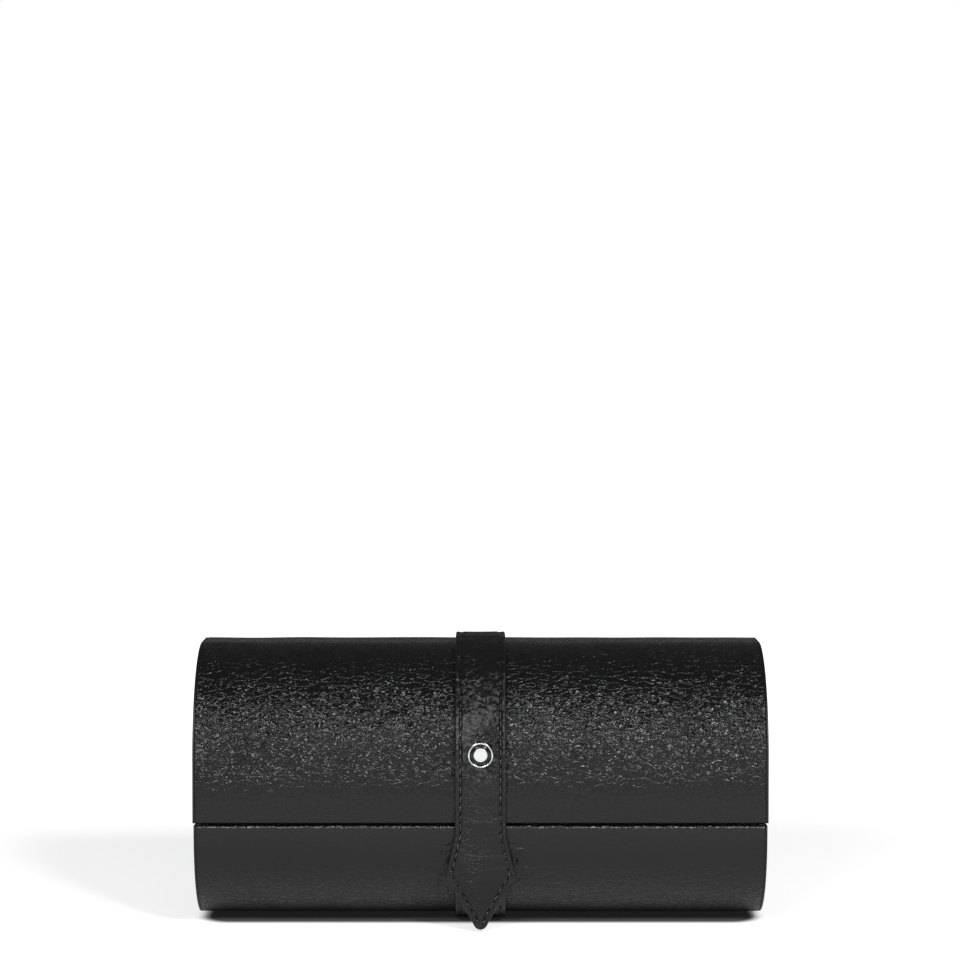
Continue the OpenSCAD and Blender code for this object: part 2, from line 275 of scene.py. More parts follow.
@dataclass(frozen=True)
class Finish:
    """A surface finish with one Principled shader; each kind adds its own pattern."""

    name: str
    colour: str
    roughness: float
    specular: float = 0.5

    def build(self) -> bpy.types.Material:
        """Makes the material, or finds the one that this finish made before.

        Returns:
            The finished material.
        """
        made = bpy.data.materials.get(self.name)
        if made:
            return made
        material = bpy.data.materials.new(self.name)
        bench = Bench.cleared(material)
        looks = {"Base Color": linear(self.colour), "Roughness": self.roughness,
                 "Specular IOR Level": self.specular}
        bench.shader = add_node(bench.tree, "ShaderNodeBsdfPrincipled", looks)
        bench.add("ShaderNodeOutputMaterial", {"Surface": bench.shader.outputs["BSDF"]})
        self.pattern(bench)
        return material

    def pattern(self, bench: Bench) -> None:
        """Adds the finish's own pattern; a plain finish has none.

        Args:
            bench: The material's nodes.
        """


@dataclass(frozen=True)
class GrainedLeather(Finish):
    """Drum-dyed calf, milled until its grain stands up as pebbles between creases.

    The dye goes right through, so nearly all that the eye gets is gloss: each small face of a pebble mirrors
    a part of the room, and the creases glint where they face a lamp. The grain lies flat where the leather
    was pulled tight: its share grows from `calm` at the height `flat_at` to 1 at `full_at`.
    """

    cell_mm: float = 2.3
    fine_mm: float = 0.58
    depth_mm: float = 0.2
    lean: float = 0.6
    pore_mm: float = 0.05
    crease_share: float = 0.14
    slant: float = 0.8
    flat_at: float = 42.0
    full_at: float = 57.0
    calm: float = 0.1

    def creases(self, bench: Bench, place: Socket) -> Socket:
        """Sets out the creases: a deep net round the pebbles and a shallow, longer one across it.

        Args:
            bench: The material's nodes.
            place: The place on the hide.

        Returns:
            A height of 0 in the deepest crease and 1 on the pebbles.
        """
        deep, shallow = (0.25, self.cell_mm, 0.0, 0.68), (-self.slant, self.cell_mm * 1.3, 0.5, 0.5)
        nets = []
        for turn, size_mm, floor, stretch in (deep, shallow):
            turned = bench.laid(place, turn, stretch, (0.031, 0.02 + turn * MM))
            edge = bench.cells(turned, size_mm)
            nets.append(bench.ramp(edge, (0.0, self.crease_share), (floor, 1.0), smooth=True))
        return bench.math("MULTIPLY", *nets)

    def pattern(self, bench: Bench) -> None:
        """Lays the creases over small faces, with pores over both.

        Args:
            bench: The material's nodes.
        """
        hide = bench.hide()
        drifted = bench.drift(hide, hide, 7.0, 1.6)
        curled = bench.drift(drifted, hide, 1.7, 0.6, detail=1.0)
        creased = self.creases(bench, curled)
        # the belly of the hide is smoother than its back, so the relief comes and goes
        some = bench.ramp(bench.noise(hide, 30.0, 1.0), (0.3, 0.7), (0.75, 1.0))
        levels = (self.flat_at * MM, self.full_at * MM)
        pulled = bench.ramp(bench.height(), levels, (self.calm, 1.0), smooth=True)
        share = bench.math("MULTIPLY", some, pulled)
        leaning = bench.math("MULTIPLY", share, creased)
        faces = bench.facets(curled, leaning, self.fine_mm, self.lean, self.slant)
        pebbles = bench.relief(creased, self.depth_mm, faces, share)
        pore = bench.noise(hide, 0.45)
        bench.feed("Normal", bench.relief(pore, self.pore_mm, pebbles, share))
        bench.gloss(pore, self.roughness, 0.06, 0.06)


@dataclass(frozen=True)
class StrapLeather(Finish):
    """Calf of the belt and strap, pressed flat, with a fine print and a few long creases where it bends."""

    cell_mm: float = 1.5
    depth_mm: float = 0.07
    fold_mm: float = 3.4
    face_mm: float = 0.62
    lean: float = 0.9
    emblem: Point3 = (0.0, -0.044, 0.061)

    def pattern(self, bench: Bench) -> None:
        """Lays a shallow net of fine lines that fades in and out, with a few creases across.

        Args:
            bench: The material's nodes.
        """
        hide = bench.hide()
        warped = bench.drift(hide, hide, 4.0, 1.6)
        line = bench.ramp(bench.cells(warped, self.cell_mm), (0.0, 0.14), smooth=True)
        patch = bench.noise(hide, 9.0)
        share = bench.ramp(patch, (0.36, 0.64), (0.25, 1.0))
        # the curved stretch over the lid is the one that bends, so its grain stands up
        bends = bench.ramp(bench.height(), (50 * MM, 61 * MM), (0.04, 0.75), smooth=True)
        # the emblem's prongs pull the leather tight round it, and the pulled grain glints
        away = bench.vector("DISTANCE", bench.place(), self.emblem)
        pulled = bench.ramp(away, (6 * MM, 14 * MM), (1.3, 0.0), smooth=True)
        leaning = bench.math("MULTIPLY", bench.math("MAXIMUM", bends, pulled), share)
        faces = bench.facets(warped, leaning, self.face_mm, self.lean)
        print_ = bench.relief(line, self.depth_mm, faces, share)
        # creases across the strap, from bending it open and shut
        fold = bench.ramp(bench.cells(bench.laid(warped, 0.0, 0.3), self.fold_mm), (0.0, 0.05), smooth=True)
        folds = bench.relief(fold, 0.05, print_, bench.ramp(patch, (0.5, 0.6)))
        swell = bench.noise(hide, 1.6, 3.0)
        swells = bench.relief(swell, 0.14, folds)
        bench.feed("Normal", bench.relief(bench.noise(hide, 0.35), 0.03, swells))
        bench.gloss(swell, self.roughness, 0.06, 0.08)


@dataclass(frozen=True)
class Suede(Finish):
    """Split leather with a brushed nap: no gloss, a soft sheen, and shades where the nap lies over."""

    nap_mm: float = 0.45
    stroke_mm: float = 14.0
    dark: str = "#605a53"

    def pattern(self, bench: Bench) -> None:
        """Lays a fine nap with larger strokes over it.

        Args:
            bench: The material's nodes.
        """
        place = bench.place()
        nap = bench.noise(place, self.nap_mm, 4.0, flat=False, Roughness=0.65)
        stroke = bench.noise(place, self.stroke_mm, 3.0, flat=False, Distortion=0.8)
        shade = bench.ramp(bench.mix(0.45, nap, stroke), (0.36, 0.64))
        bench.feed("Base Color", bench.blend(shade, linear(self.dark), linear(self.colour)))
        bench.shader.inputs["Sheen Weight"].default_value = 0.35
        bench.shader.inputs["Sheen Roughness"].default_value = 0.45
        bench.feed("Normal", bench.relief(nap, 0.12))


@dataclass(frozen=True)
class SpunThread(Finish):
    """Waxed polyester thread of twisted plies."""

    twist_mm: float = 0.55

    def pattern(self, bench: Bench) -> None:
        """Lays the diagonal ridges of the plies.

        Args:
            bench: The material's nodes.
        """
        turned = bench.add("ShaderNodeMapping", {"Vector": bench.place(), "Rotation": (0.6, 0.5, 0.4)})[0]
        links = {"Vector": turned, "Scale": 1 / (self.twist_mm * MM) / 2, "Distortion": 0.6}
        ply = bench.add("ShaderNodeTexWave", links)["Fac"]
        bench.feed("Normal", bench.relief(ply, 0.06))


@dataclass(frozen=True)
class EdgePaint(Finish):
    """Dye laid on by hand in layers: smooth and slightly uneven."""

    run_mm: float = 1.4

    def pattern(self, bench: Bench) -> None:
        """Lays the slow unevenness of the brush.

        Args:
            bench: The material's nodes.
        """
        run = bench.noise(bench.place(), self.run_mm, flat=False)
        bench.feed("Normal", bench.relief(run, 0.08))
        bench.gloss(run, self.roughness, 0.08, 0.08)


@dataclass(frozen=True)
class Polished(Finish):
    """Metal polished on a wheel: bright, with the faint haze that the wheel leaves."""

    haze_mm: float = 0.9

    def pattern(self, bench: Bench) -> None:
        """Sets the metal and its polishing haze.

        Args:
            bench: The material's nodes.
        """
        bench.shader.inputs["Metallic"].default_value = 1.0
        haze = bench.noise(bench.place(), self.haze_mm, 3.0, flat=False)
        bench.gloss(haze, self.roughness, 0.04, 0.06)
        bench.feed("Normal", bench.relief(haze, 0.006))


@dataclass(frozen=True)
class FibreBoard(Finish):
    """Grey-brown bookbinder's board, cut, with loose fibres on its face."""

    fibre_mm: float = 0.8
    dark: str = "#5c5348"

    def pattern(self, bench: Bench) -> None:
        """Lays fibres and specks.

        Args:
            bench: The material's nodes.
        """
        fibre = bench.noise(bench.place(), self.fibre_mm, 5.0, flat=False, Roughness=0.7)
        bench.feed("Base Color", bench.blend(fibre, linear(self.dark), linear(self.colour)))
        bench.feed("Normal", bench.relief(fibre, 0.08))


class Surface(Enum):
    """Every finish on the case."""

    LID = GrainedLeather("pebbled calf, lid", "#0d0d0e", 0.26, 0.42)
    BASE = GrainedLeather("pebbled calf, base", "#0f0f10", 0.36, 0.47, depth_mm=0.3, crease_share=0.15,
                          lean=0.1, flat_at=26.0, full_at=12.0, calm=0.2)
    # painted highlight: a lighter colour than the base's leather, on the turned edge at the seam; its higher
    # gloss is the finish's own
    ROLL = GrainedLeather("pebbled calf, turned edge, painted highlight", "#1b1b1c", 0.28, 0.9, depth_mm=0.25, lean=0.4,
                          flat_at=10.0, full_at=20.0, calm=1.0)
    ENDS = GrainedLeather("pebbled calf, end panels", "#0e0e0f", 0.4, 0.4, depth_mm=0.08, crease_share=0.2,
                          lean=0.25, flat_at=10.0, full_at=20.0, calm=1.0)
    HINGE = EdgePaint("skived calf hinge", "#111112", 0.55, 0.35)
    STRAP = StrapLeather("pressed calf, strap", "#0f0f10", 0.36, 0.42)
    # painted shade: the groove's darker colour stands in for the shade down in the sewn groove
    GROOVE_SHADE = EdgePaint("pressed calf, sewn groove, painted shade", "#070707", 0.7, 0.15)
    EDGE = EdgePaint("painted leather edge", "#1a1316", 0.4, 0.45)
    THREAD = SpunThread("waxed polyester thread", "#1e1e1f", 0.22, 0.9)
    LINING = Suede("brushed suede lining", "#8b8278", 0.95, 0.1)
    COLLAR = Suede("brushed suede collar", "#9a9085", 0.95, 0.1, dark="#615a52")
    PILLOW = Suede("brushed suede pillow", "#968d82", 0.95, 0.1, dark="#6a635b")
    BRIGHT = Polished("polished nickel plate", "#e4e5e6", 0.14)
    DOT = Polished("satin nickel plate", "#f0f0f0", 0.3)
    ENAMEL = EdgePaint("black enamel", "#0a0a0b", 0.12, 0.5)
    STEEL = Polished("plain sheet steel", "#a9abad", 0.4)
    BOARD = FibreBoard("bookbinder's board", "#877b6a", 0.9, 0.2)

    def build(self) -> bpy.types.Material:
        """Returns the finish's material."""
        return self.value.build()


# ---------------------------------------------------------------- bodies


class Member(Enum):
    """The body that a piece moves with."""

    BASE = "base"
    LID = "lid"
    STRAP = "strap"
    LEFT_PILLOW = "left_pillow"
    MIDDLE_PILLOW = "middle_pillow"
    RIGHT_PILLOW = "right_pillow"


class Slot(Enum):
    """A name for a finish that can be changed; nothing in the script reads it."""

    GRAIN = "grain_leather"
    SMOOTH = "smooth_leather"
    LINING = "suede_lining"
    PILLOW = "pillow_suede"
    BRIGHT = "bright_metal"
    ENAMEL = "black_enamel"


def settle(piece: bpy.types.Object, member: Member, slot: Slot,
           nodes: Sequence[str] = ()) -> bpy.types.Object:
    """Hands a finished piece to the body that carries it.

    Args:
        piece: The piece.
        member: The body.
        slot: Not used.
        nodes: CAD nodes that the piece stands for.

    Returns:
        The piece.
    """
    if nodes:
        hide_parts(*nodes)
    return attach(piece, member.value)


# ---------------------------------------------------------------- shapes


@dataclass(frozen=True)
class SideView:
    """A side view in the Y-Z plane, walked along straight and round stretches.

    The walk goes up at the front and down at the back, so the outside is on its left. Each stretch has its
    length and its bend, which is 1 over its radius.
    """

    start: Point2
    heading: float
    stretches: tuple[Point2, ...]

    def at(self, s: float, lift: float = 0.0) -> Point2:
        """Finds a place beside the walk.

        Args:
            s: Distance walked.
            lift: Distance to the outside of the walk.

        Returns:
            Y and Z in millimetres.
        """
        y, z = self.start
        turn = self.heading
        for index, (length, bend) in enumerate(self.stretches):
            step = min(s, length) if index < len(self.stretches) - 1 else s
            step = max(step, 0.0) if index else step
            if bend:
                radius = 1 / bend
                cy, cz = y - math.sin(turn) * radius, z + math.cos(turn) * radius
                turn += step * bend
                y, z = cy + math.sin(turn) * radius, cz - math.cos(turn) * radius
            else:
                y, z = y + math.cos(turn) * step, z + math.sin(turn) * step
            s -= length
            if s <= 0:
                break
        return (y - math.sin(turn) * lift, z + math.cos(turn) * lift)


@dataclass(frozen=True)
class CaseSizes:
    """The case's own sizes, as in the CAD frame."""

    half_w: float = 95.0
    half_d: float = 43.0
    height: float = 90.9
    foot: float = 2.0
    top_r: float = 36.0
    bottom_r: float = 31.0
    seam: float = 35.9
    gap: float = 0.8
    base_step: float = 0.35
    end_t: float = 0.8
    leather_t: float = 1.2
    wall_t: float = 5.0
    rim: float = 3.8
    turn_in: float = 0.9

    @property
    def quarter_low(self) -> float:
        """Length of a lower round corner."""
        return self.bottom_r * math.pi / 2

    @property
    def quarter_high(self) -> float:
        """Length of an upper round corner."""
        return self.top_r * math.pi / 2

    @property
    def flat_low(self) -> float:
        """Half the flat underside."""
        return self.half_d - self.bottom_r

    @property
    def flat_high(self) -> float:
        """Half the flat crown."""
        return self.half_d - self.top_r

    @property
    def upright(self) -> float:
        """Height of the straight front."""
        return self.height - self.bottom_r - self.top_r

    @property
    def s_crown(self) -> float:
        """Distance walked to the front edge of the flat crown."""
        return self.flat_low + self.quarter_low + self.upright + self.quarter_high

    @property
    def s_round(self) -> float:
        """Distance once round the case."""
        return 2 * (self.s_crown + self.flat_high)

    @property
    def lid_level(self) -> float:
        """Height of the lid's lower edge."""
        return self.seam + self.gap / 2

    @property
    def base_level(self) -> float:
        """Height of the base's upper edge."""
        return self.seam - self.gap / 2

    def s_front(self, z: float) -> float:
        """Distance walked to a height on the straight front."""
        return self.flat_low + self.quarter_low + z - self.foot - self.bottom_r

    def outline(self) -> SideView:
        """Returns the walk from the middle of the underside, over the front and crown, and round again."""
        half = [(self.flat_low, 0.0), (self.quarter_low, -1 / self.bottom_r), (self.upright, 0.0),
                (self.quarter_high, -1 / self.top_r), (self.flat_high, 0.0)]
        return SideView((0.0, self.foot), math.pi, tuple(half + half[::-1] + half[:3]))


def smooth_normals(mesh: bpy.types.Mesh, weld: float = 0.0) -> None:
    """Turns a mesh's normals outwards, and first welds points that lie within a distance in metres."""
    work = bmesh.new()
    work.from_mesh(mesh)
    if weld:
        bmesh.ops.remove_doubles(work, verts=work.verts, dist=weld)
    bmesh.ops.recalc_face_normals(work, faces=work.faces)
    work.to_mesh(mesh)
    work.free()


def shown(name: str, mesh: Optional[bpy.types.ID]) -> bpy.types.Object:
    """Puts a mesh, a lamp or a lens into the scene as an object."""
    thing = bpy.data.objects.new(name, mesh)
    bpy.context.scene.collection.objects.link(thing)
    return thing


def mesh_object(name: str, points: np.ndarray, faces: Sequence[Sequence[int]], materials: Sequence[Surface],
                picks: Optional[Sequence[int]] = None, hide: Optional[np.ndarray] = None) -> bpy.types.Object:
    """Makes a piece from points in millimetres, shaded smooth, with normals facing outwards.

    Args:
        name: The piece's name.
        points: Its points, n by 3.
        faces: Its faces.
        materials: Its finishes, in slot order.
        picks: Each face's slot, or none where all use the first.
        hide: Each point's place on the flat hide, in millimetres, for the leather's UV map.

    Returns:
        The new object, at the origin.
    """
    mesh = bpy.data.meshes.new(name)
    mesh.from_pydata((np.asarray(points) * MM).tolist(), [], [list(f) for f in faces])
    if hide is not None:
        layer = mesh.uv_layers.new(name="hide")
        corners = np.empty(len(mesh.loops), dtype=np.int64)
        mesh.loops.foreach_get("vertex_index", corners)
        layer.data.foreach_set("uv", (np.asarray(hide)[corners] * MM).ravel())
    for surface in materials:
        mesh.materials.append(surface.build())
    if picks is not None:
        mesh.polygons.foreach_set("material_index", list(picks))
    mesh.polygons.foreach_set("use_smooth", [True] * len(mesh.polygons))
    smooth_normals(mesh)
    LOG.info("piece %s: %d faces", name, len(mesh.polygons))
    return shown(name, mesh)


def loft(rings: Sequence[Sequence[Point3]]) -> tuple[np.ndarray, list[tuple[int, ...]]]:
    """Joins closed rings of equal count into a closed skin with flat ends.

    Args:
        rings: The rings, each a list of points.

    Returns:
        The points and the faces; the two end faces come last.
    """
    count = len(rings[0])
    points = np.concatenate([np.asarray(ring, dtype=float) for ring in rings])
    faces: list[tuple[int, ...]] = []
    for a in range(0, (len(rings) - 1) * count, count):
        for j in range(count):
            k = (j + 1) % count
            faces.append((a + j, a + count + j, a + count + k, a + k))
    faces.append(tuple(range(count)))
    faces.append(tuple(range((len(rings) - 1) * count, len(rings) * count)))
    return points, faces


def at_x(x: float, flat: Sequence[Point2]) -> np.ndarray:
    """Sets a run of Y and Z places up at one X."""
    return np.column_stack([np.full(len(flat), x), flat])


def path_places(path: SideView, stations: np.ndarray) -> tuple[np.ndarray, np.ndarray]:
    """Finds places and outward directions along a side view.

    Args:
        path: The side view.
        stations: Distances along it.

    Returns:
        Y and Z, and the outward direction's Y and Z, one row for each station.
    """
    base = np.array([path.at(s) for s in stations])
    return base, np.array([path.at(s, 1.0) for s in stations]) - base


def spread(low: float, high: float, step: float) -> np.ndarray:
    """Sets even places from low to high, no further apart than step."""
    return np.linspace(low, high, max(2, int(math.ceil((high - low) / step)) + 1))


def joined(*runs: np.ndarray) -> np.ndarray:
    """Sorts several runs of places into one, without doubles."""
    every = np.unique(np.round(np.concatenate(runs), 4))
    return every[np.concatenate([[True], np.diff(every) > 0.008])]


def rounded_edge(depth: np.ndarray, radius: float, power: float = 2.0) -> np.ndarray:
    """Finds the share of full height at a depth inside a rounded edge, from 0 at the edge to 1."""
    inside = np.clip(depth / radius, 0, 1)
    return (1 - (1 - inside) ** power) ** (1 / power)


def arc(centre: Point2, radius: float, first: float, last: float, count: int) -> list[Point2]:
    """Sets points along an arc, between two angles."""
    cx, cy = centre
    return [(cx + radius * math.cos(a), cy + radius * math.sin(a)) for a in np.linspace(first, last, count)]


def waves(x: np.ndarray, y: np.ndarray, size_mm: float, seed: int) -> np.ndarray:
    """Makes slow unevenness from -1 to 1, the same on each run.

    Args:
        x: Places along one direction, in millimetres.
        y: Places along the other.
        size_mm: Rough size of a swelling.
        seed: Picks one pattern of many.

    Returns:
        Heights, in the shape of x and y together.
    """
    pick = np.random.default_rng(seed)
    count = 9
    turns, phases = pick.uniform(0, math.pi, count), pick.uniform(0, 2 * math.pi, count)
    total = 0.0
    for turn, phase, stretch in zip(turns, phases, pick.uniform(0.7, 1.7, count)):
        across = x * math.cos(turn) + y * math.sin(turn)
        total = total + np.sin(across * math.pi / size_mm * stretch + phase)
    return total / (count / 2)


# ---------------------------------------------------------------- the leather shells


@dataclass(frozen=True)
class Crease:
    """One drawn crease in the leather, as a bent line seen from the front."""

    x: float
    z: float
    aim: float
    length: float
    bend: float
    depth: float
    width: float
    steps: int = 18

    def depth_at(self, x: np.ndarray, z: np.ndarray) -> np.ndarray:
        """Finds the depth of the crease at places on the front.

        Args:
            x: Places along the case.
            z: Heights.

        Returns:
            Depths in millimetres, 0 far from the crease.
        """
        t = np.linspace(0, 1, self.steps)
        turn = self.aim + self.bend * t
        px = self.x + np.cumsum(np.cos(turn)) * self.length / self.steps
        pz = self.z + np.cumsum(np.sin(turn)) * self.length / self.steps
        near = (np.abs(x - self.x) < self.length + 2) & (np.abs(z - self.z) < self.length + 2)
        depth = np.zeros_like(x)
        if near.any():
            off = np.hypot(x[near][:, None] - px, z[near][:, None] - pz) / self.width
            fade = np.sin(math.pi * np.clip(0.12 + t * 0.86, 0, 1)) ** 0.6
            depth[near] = (np.exp(-off ** 2) * fade).max(1) * self.depth
        return depth


def drawn_creases(seed: int, low: float, high: float, edge: Callable[[float], float],
                  count: int) -> tuple[Crease, ...]:
    """Sets out creases that run away from both sides of the strap.

    Args:
        seed: Picks one set of many.
        low: Lowest height.
        high: Greatest height.
        edge: The strap's half width at a height.
        count: Creases on each side.

    Returns:
        The creases.
    """
    pick = np.random.default_rng(seed)
    made = []
    for side in (-1, 1):
        for k in range(count):
            z = low + (high - low) * (k + pick.uniform(0.1, 0.9)) / count
            away = pick.uniform(-1.25, -0.15) if pick.random() < 0.62 else pick.uniform(0.1, 1.1)
            x = edge(z) + pick.uniform(0.1, 4.6) * pick.uniform(0.2, 1)
            aim = away if side > 0 else math.pi - away
            length, bend = pick.uniform(1.4, 4.6), side * pick.uniform(-0.9, 0.6)
            depth, width = pick.uniform(0.16, 0.34), pick.uniform(0.2, 0.3)
            made.append(Crease(side * x, z, aim, length, bend, depth, width))
    return tuple(made)


@dataclass
class Pucker:
    """Leather drawn up in short ridges beside the strap, seen from the front."""

    x: float
    low: float
    high: float
    reach: float
    depth: float
    size: float
    seed: int
    fade: float = 5.0

    def depth_at(self, x: np.ndarray, z: np.ndarray) -> np.ndarray:
        """Finds the depth of the ridges' valleys.

        Args:
            x: Places along the case.
            z: Heights.

        Returns:
            Depths in millimetres.
        """
        side = np.abs(np.abs(x) - self.x)
        share = np.exp(-(side / self.reach) ** 2)
        share = share * np.clip((z - self.low) / self.fade, 0, 1) * np.clip((self.high - z) / self.fade, 0, 1)
        # the ridges slope away from the strap, as pulled leather does
        run = waves(x * 0.6 + z * 0.35 * np.sign(x), z * 1.25 - np.abs(x) * 0.55, self.size, self.seed)
        return self.depth * share * (1 - np.abs(run)) ** 2


@dataclass
class Shell:
    """The grained leather of one half: wrapped round the board, turned in at the seam."""

    sizes: CaseSizes
    name: str
    node: str
    member: Member
    surface: Surface
    first: float
    last: float
    reach: float
    pucker: Pucker
    creases: tuple[Crease, ...] = ()
    fine_rows: Point2 = (0.0, 0.0)
    swell: float = 0.1
    seed: int = 3
    seam_round: float = 0.75
    end_round: float = 0.3
    roll: float = 0.75
    marked: float = 24.0

    def stations(self) -> np.ndarray:
        """Returns distances along the side view, closer together at the seam and on a creased front."""
        r = self.seam_round
        close = np.array([0.0, 0.02, 0.07, 0.15, 0.27, 0.42, 0.6, 0.84, r, r + 0.5, r + 1.0])
        runs = [self.first + close, spread(self.first + r + 1, self.last - r - 1, 1.15), self.last - close]
        if self.creases:
            runs.append(spread(*self.fine_rows, 0.32))
        return joined(*runs)

    def columns(self) -> np.ndarray:
        """Returns places along the case, closer together at the ends and beside the strap."""
        close = self.reach - np.array([1.0, 0.6, 0.42, 0.27, 0.15, 0.06, 0.015, 0.0])
        beside = spread(8, 20, 0.36 if self.creases else 0.8)
        half = joined(spread(0, 8, 1.0), beside, spread(20, self.reach - 1.2, 1.9), close)
        return joined(-half[::-1], half)

    def build(self) -> bpy.types.Object:
        """Lofts the leather along the case.

        Returns:
            The piece.
        """
        s = self.sizes
        path, stations, columns = s.outline(), self.stations(), self.columns()
        base, out = path_places(path, stations)
        from_edge = np.minimum(stations - self.first, self.last - stations)
        drop = -self.seam_round * (1 - rounded_edge(from_edge, self.seam_round))
        first, last = self.first + s.turn_in, self.last - s.turn_in
        inside = np.linspace(first, last, 48)[::-1][1:-1]
        inner, inner_out = path_places(path, inside)
        turn = [path.at(self.last, -s.rim), path.at(last, -s.rim), path.at(last, -s.leather_t)]
        lead = [path.at(first, -s.leather_t), path.at(first, -s.rim), path.at(self.first, -s.rim)]
        tail = np.concatenate([turn, inner - inner_out * s.leather_t, lead])
        front = np.clip(-out[:, 0], 0, 1)
        rings = []
        for x in columns:
            here = np.full_like(stations, x)
            end = self.end_round * (1 - float(rounded_edge(np.array(self.reach - abs(x)), self.end_round)))
            swell = self.swell * waves(here, stations, 17.0, self.seed)
            lift = drop - end + swell * np.clip(from_edge / 6, 0, 1)
            for mark in (self.pucker, *(self.creases if abs(x) < self.marked else ())):
                lift = lift - front * mark.depth_at(here, base[:, 1])
            rings.append(at_x(x, np.concatenate([base + out * lift[:, None], tail])))
        points, faces = loft(rings)
        # the turned-in side is laid well away on the hide, so that its grain is its own
        ends = np.array([4.0, 5.0, 6.0])
        walk = np.concatenate([stations, self.last + ends, inside + 300, self.first - ends[::-1]])
        hide = np.stack([points[:, 0], np.tile(walk, len(columns))], 1)
        # the last round of the base's leather at the seam has a smoother, glossier finish, and its lighter
        # colour is a painted highlight
        roll = self.roll if self.member is Member.BASE else 0.0
        roll_highlight_faces = [int(not self.first + roll <= at <= self.last - roll)
                  for at in (stations[:-1] + stations[1:]) / 2]
        picks = (roll_highlight_faces + [0] * (len(walk) - len(roll_highlight_faces))) * (len(columns) - 1) + [0, 0]
        piece = mesh_object(self.name, points, faces, [self.surface, Surface.ROLL], picks, hide)
        return settle(piece, self.member, Slot.GRAIN, (self.node,))


@dataclass
class EndPanel:
    """One end of one half: thin leather over the board, its rounded edge dyed, turned in at the seam."""

    sizes: CaseSizes
    name: str
    node: str
    member: Member
    side: int
    reach: float
    inset: float = 0.05
    edge_r: float = 0.2
    dyed: float = 0.9
    flap: float = 2.6
    flap_half: float = 39.2

    @property
    def level(self) -> float:
        """Height of the panel's edge at the seam."""
        return self.sizes.lid_level if self.member is Member.LID else self.sizes.base_level

    def loop(self) -> np.ndarray:
        """Walks round the panel's edge in the Y-Z plane."""
        s = self.sizes
        path, at = s.outline(), s.s_front(self.level)
        first, last = (at, s.s_round - at) if self.member is Member.LID else (s.s_round - at, s.s_round + at)
        bow = np.array([path.at(k, -self.inset) for k in spread(first, last, 1.6)])
        return np.concatenate([bow, np.linspace(bow[-1], bow[0], 50)[1:-1]])

    def build(self) -> bpy.types.Object:
        """Builds the panel as rings from its edge to its middle.

        Returns:
            The piece.
        """
        loop = self.loop()
        centre = loop.mean(0)
        along = np.roll(loop, -1, 0) - np.roll(loop, 1, 0)
        inward = np.stack([-along[:, 1], along[:, 0]], 1)
        inward /= np.linalg.norm(inward, axis=1)[:, None]
        inward *= np.sign(((centre - loop) * inward).sum(1))[:, None]
        # deeper rings move towards the middle, so that they do not cross at the two sharp corners
        inner = (centre - loop) / np.linalg.norm(centre - loop, axis=1)[:, None]
        inner /= np.clip((inner * inward).sum(1), 0.35, 1.0)[:, None]
        x_out, r = self.reach, self.edge_r
        rings = [(self.reach - self.sizes.end_t, loop)]
        for angle in np.radians([0, 25, 50, 70, 90]):
            rings.append((x_out - r + r * math.sin(angle), loop + inward * (r * (1 - math.cos(angle)))))
        rings.append((x_out, loop + inner * self.dyed))
        dyed = len(rings) - 1
        core = loop + inner * (self.dyed + 0.5)
        shares = (0, 0.06, 0.14, 0.24, 0.36, 0.5, 0.64, 0.78, 0.9)
        rings += [(x_out, core + (centre - core) * share) for share in shares]
        points, faces = loft([at_x(self.side * x, flat) for x, flat in rings])
        slots = [1] * (dyed * len(loop))
        flap_points, flap_faces = self.turned_in(len(points))
        points = np.concatenate([points, flap_points])
        faces += flap_faces
        slots += [0] * (len(faces) - len(slots))
        hide = points[:, 1:] + points[:, :1] * 0.3
        piece = mesh_object(self.name, points, faces, [Surface.ENDS, Surface.EDGE], slots, hide)
        return settle(piece, self.member, Slot.GRAIN, (self.node,))

    def turned_in(self, first: int) -> tuple[np.ndarray, list[tuple[int, ...]]]:
        """Builds the leather turned over the end board at the seam.

        Args:
            first: Index of its first point.

        Returns:
            Points and faces.
        """
        s, level = self.sizes, self.level
        way = 1 if self.member is Member.LID else -1
        x0, x1 = self.reach - s.end_t - self.flap, self.reach - s.end_t + 0.02
        far = level + way * s.turn_in
        profile = [(x0, far), (x0, level + way * 0.3), (x0 + 0.1, level + way * 0.1), (x0 + 0.3, level),
                   (x1, level), (x1, far)]
        places = np.linspace(-self.flap_half, self.flap_half, 30)
        points, faces = loft([[(self.side * x, y, z) for x, z in profile] for y in places])
        return points, [tuple(i + first for i in f) for f in faces]


# ---------------------------------------------------------------- belt and strap

PITCH = 3.1  # from stitch to stitch
NEAR_EDGE = np.array([0, 0.03, 0.1, 0.2, 0.34, 0.5, 0.68, 1.0, 1.35, 1.6, 1.78, 1.9, 2.02, 2.2, 2.45, 2.8])
NEAR_END = np.array([0, 0.04, 0.12, 0.25, 0.42, 0.62, 1.0])
NEAR_TIP = np.array([0.01, 0.04, 0.1, 0.18, 0.28, 0.4, 0.55, 0.72, 0.9, 1.15, 1.4, 1.7])
NEAR_POINT = np.array([-0.9, -0.6, -0.4, -0.25, -0.15, 0, 0.15, 0.3, 0.5, 0.8])


def mirrored(over: np.ndarray, under: np.ndarray) -> np.ndarray:
    """Joins rows of the upper face and, running back, of the lower face into closed rings."""
    return np.concatenate([over, under[:, -2:0:-1]], 1)


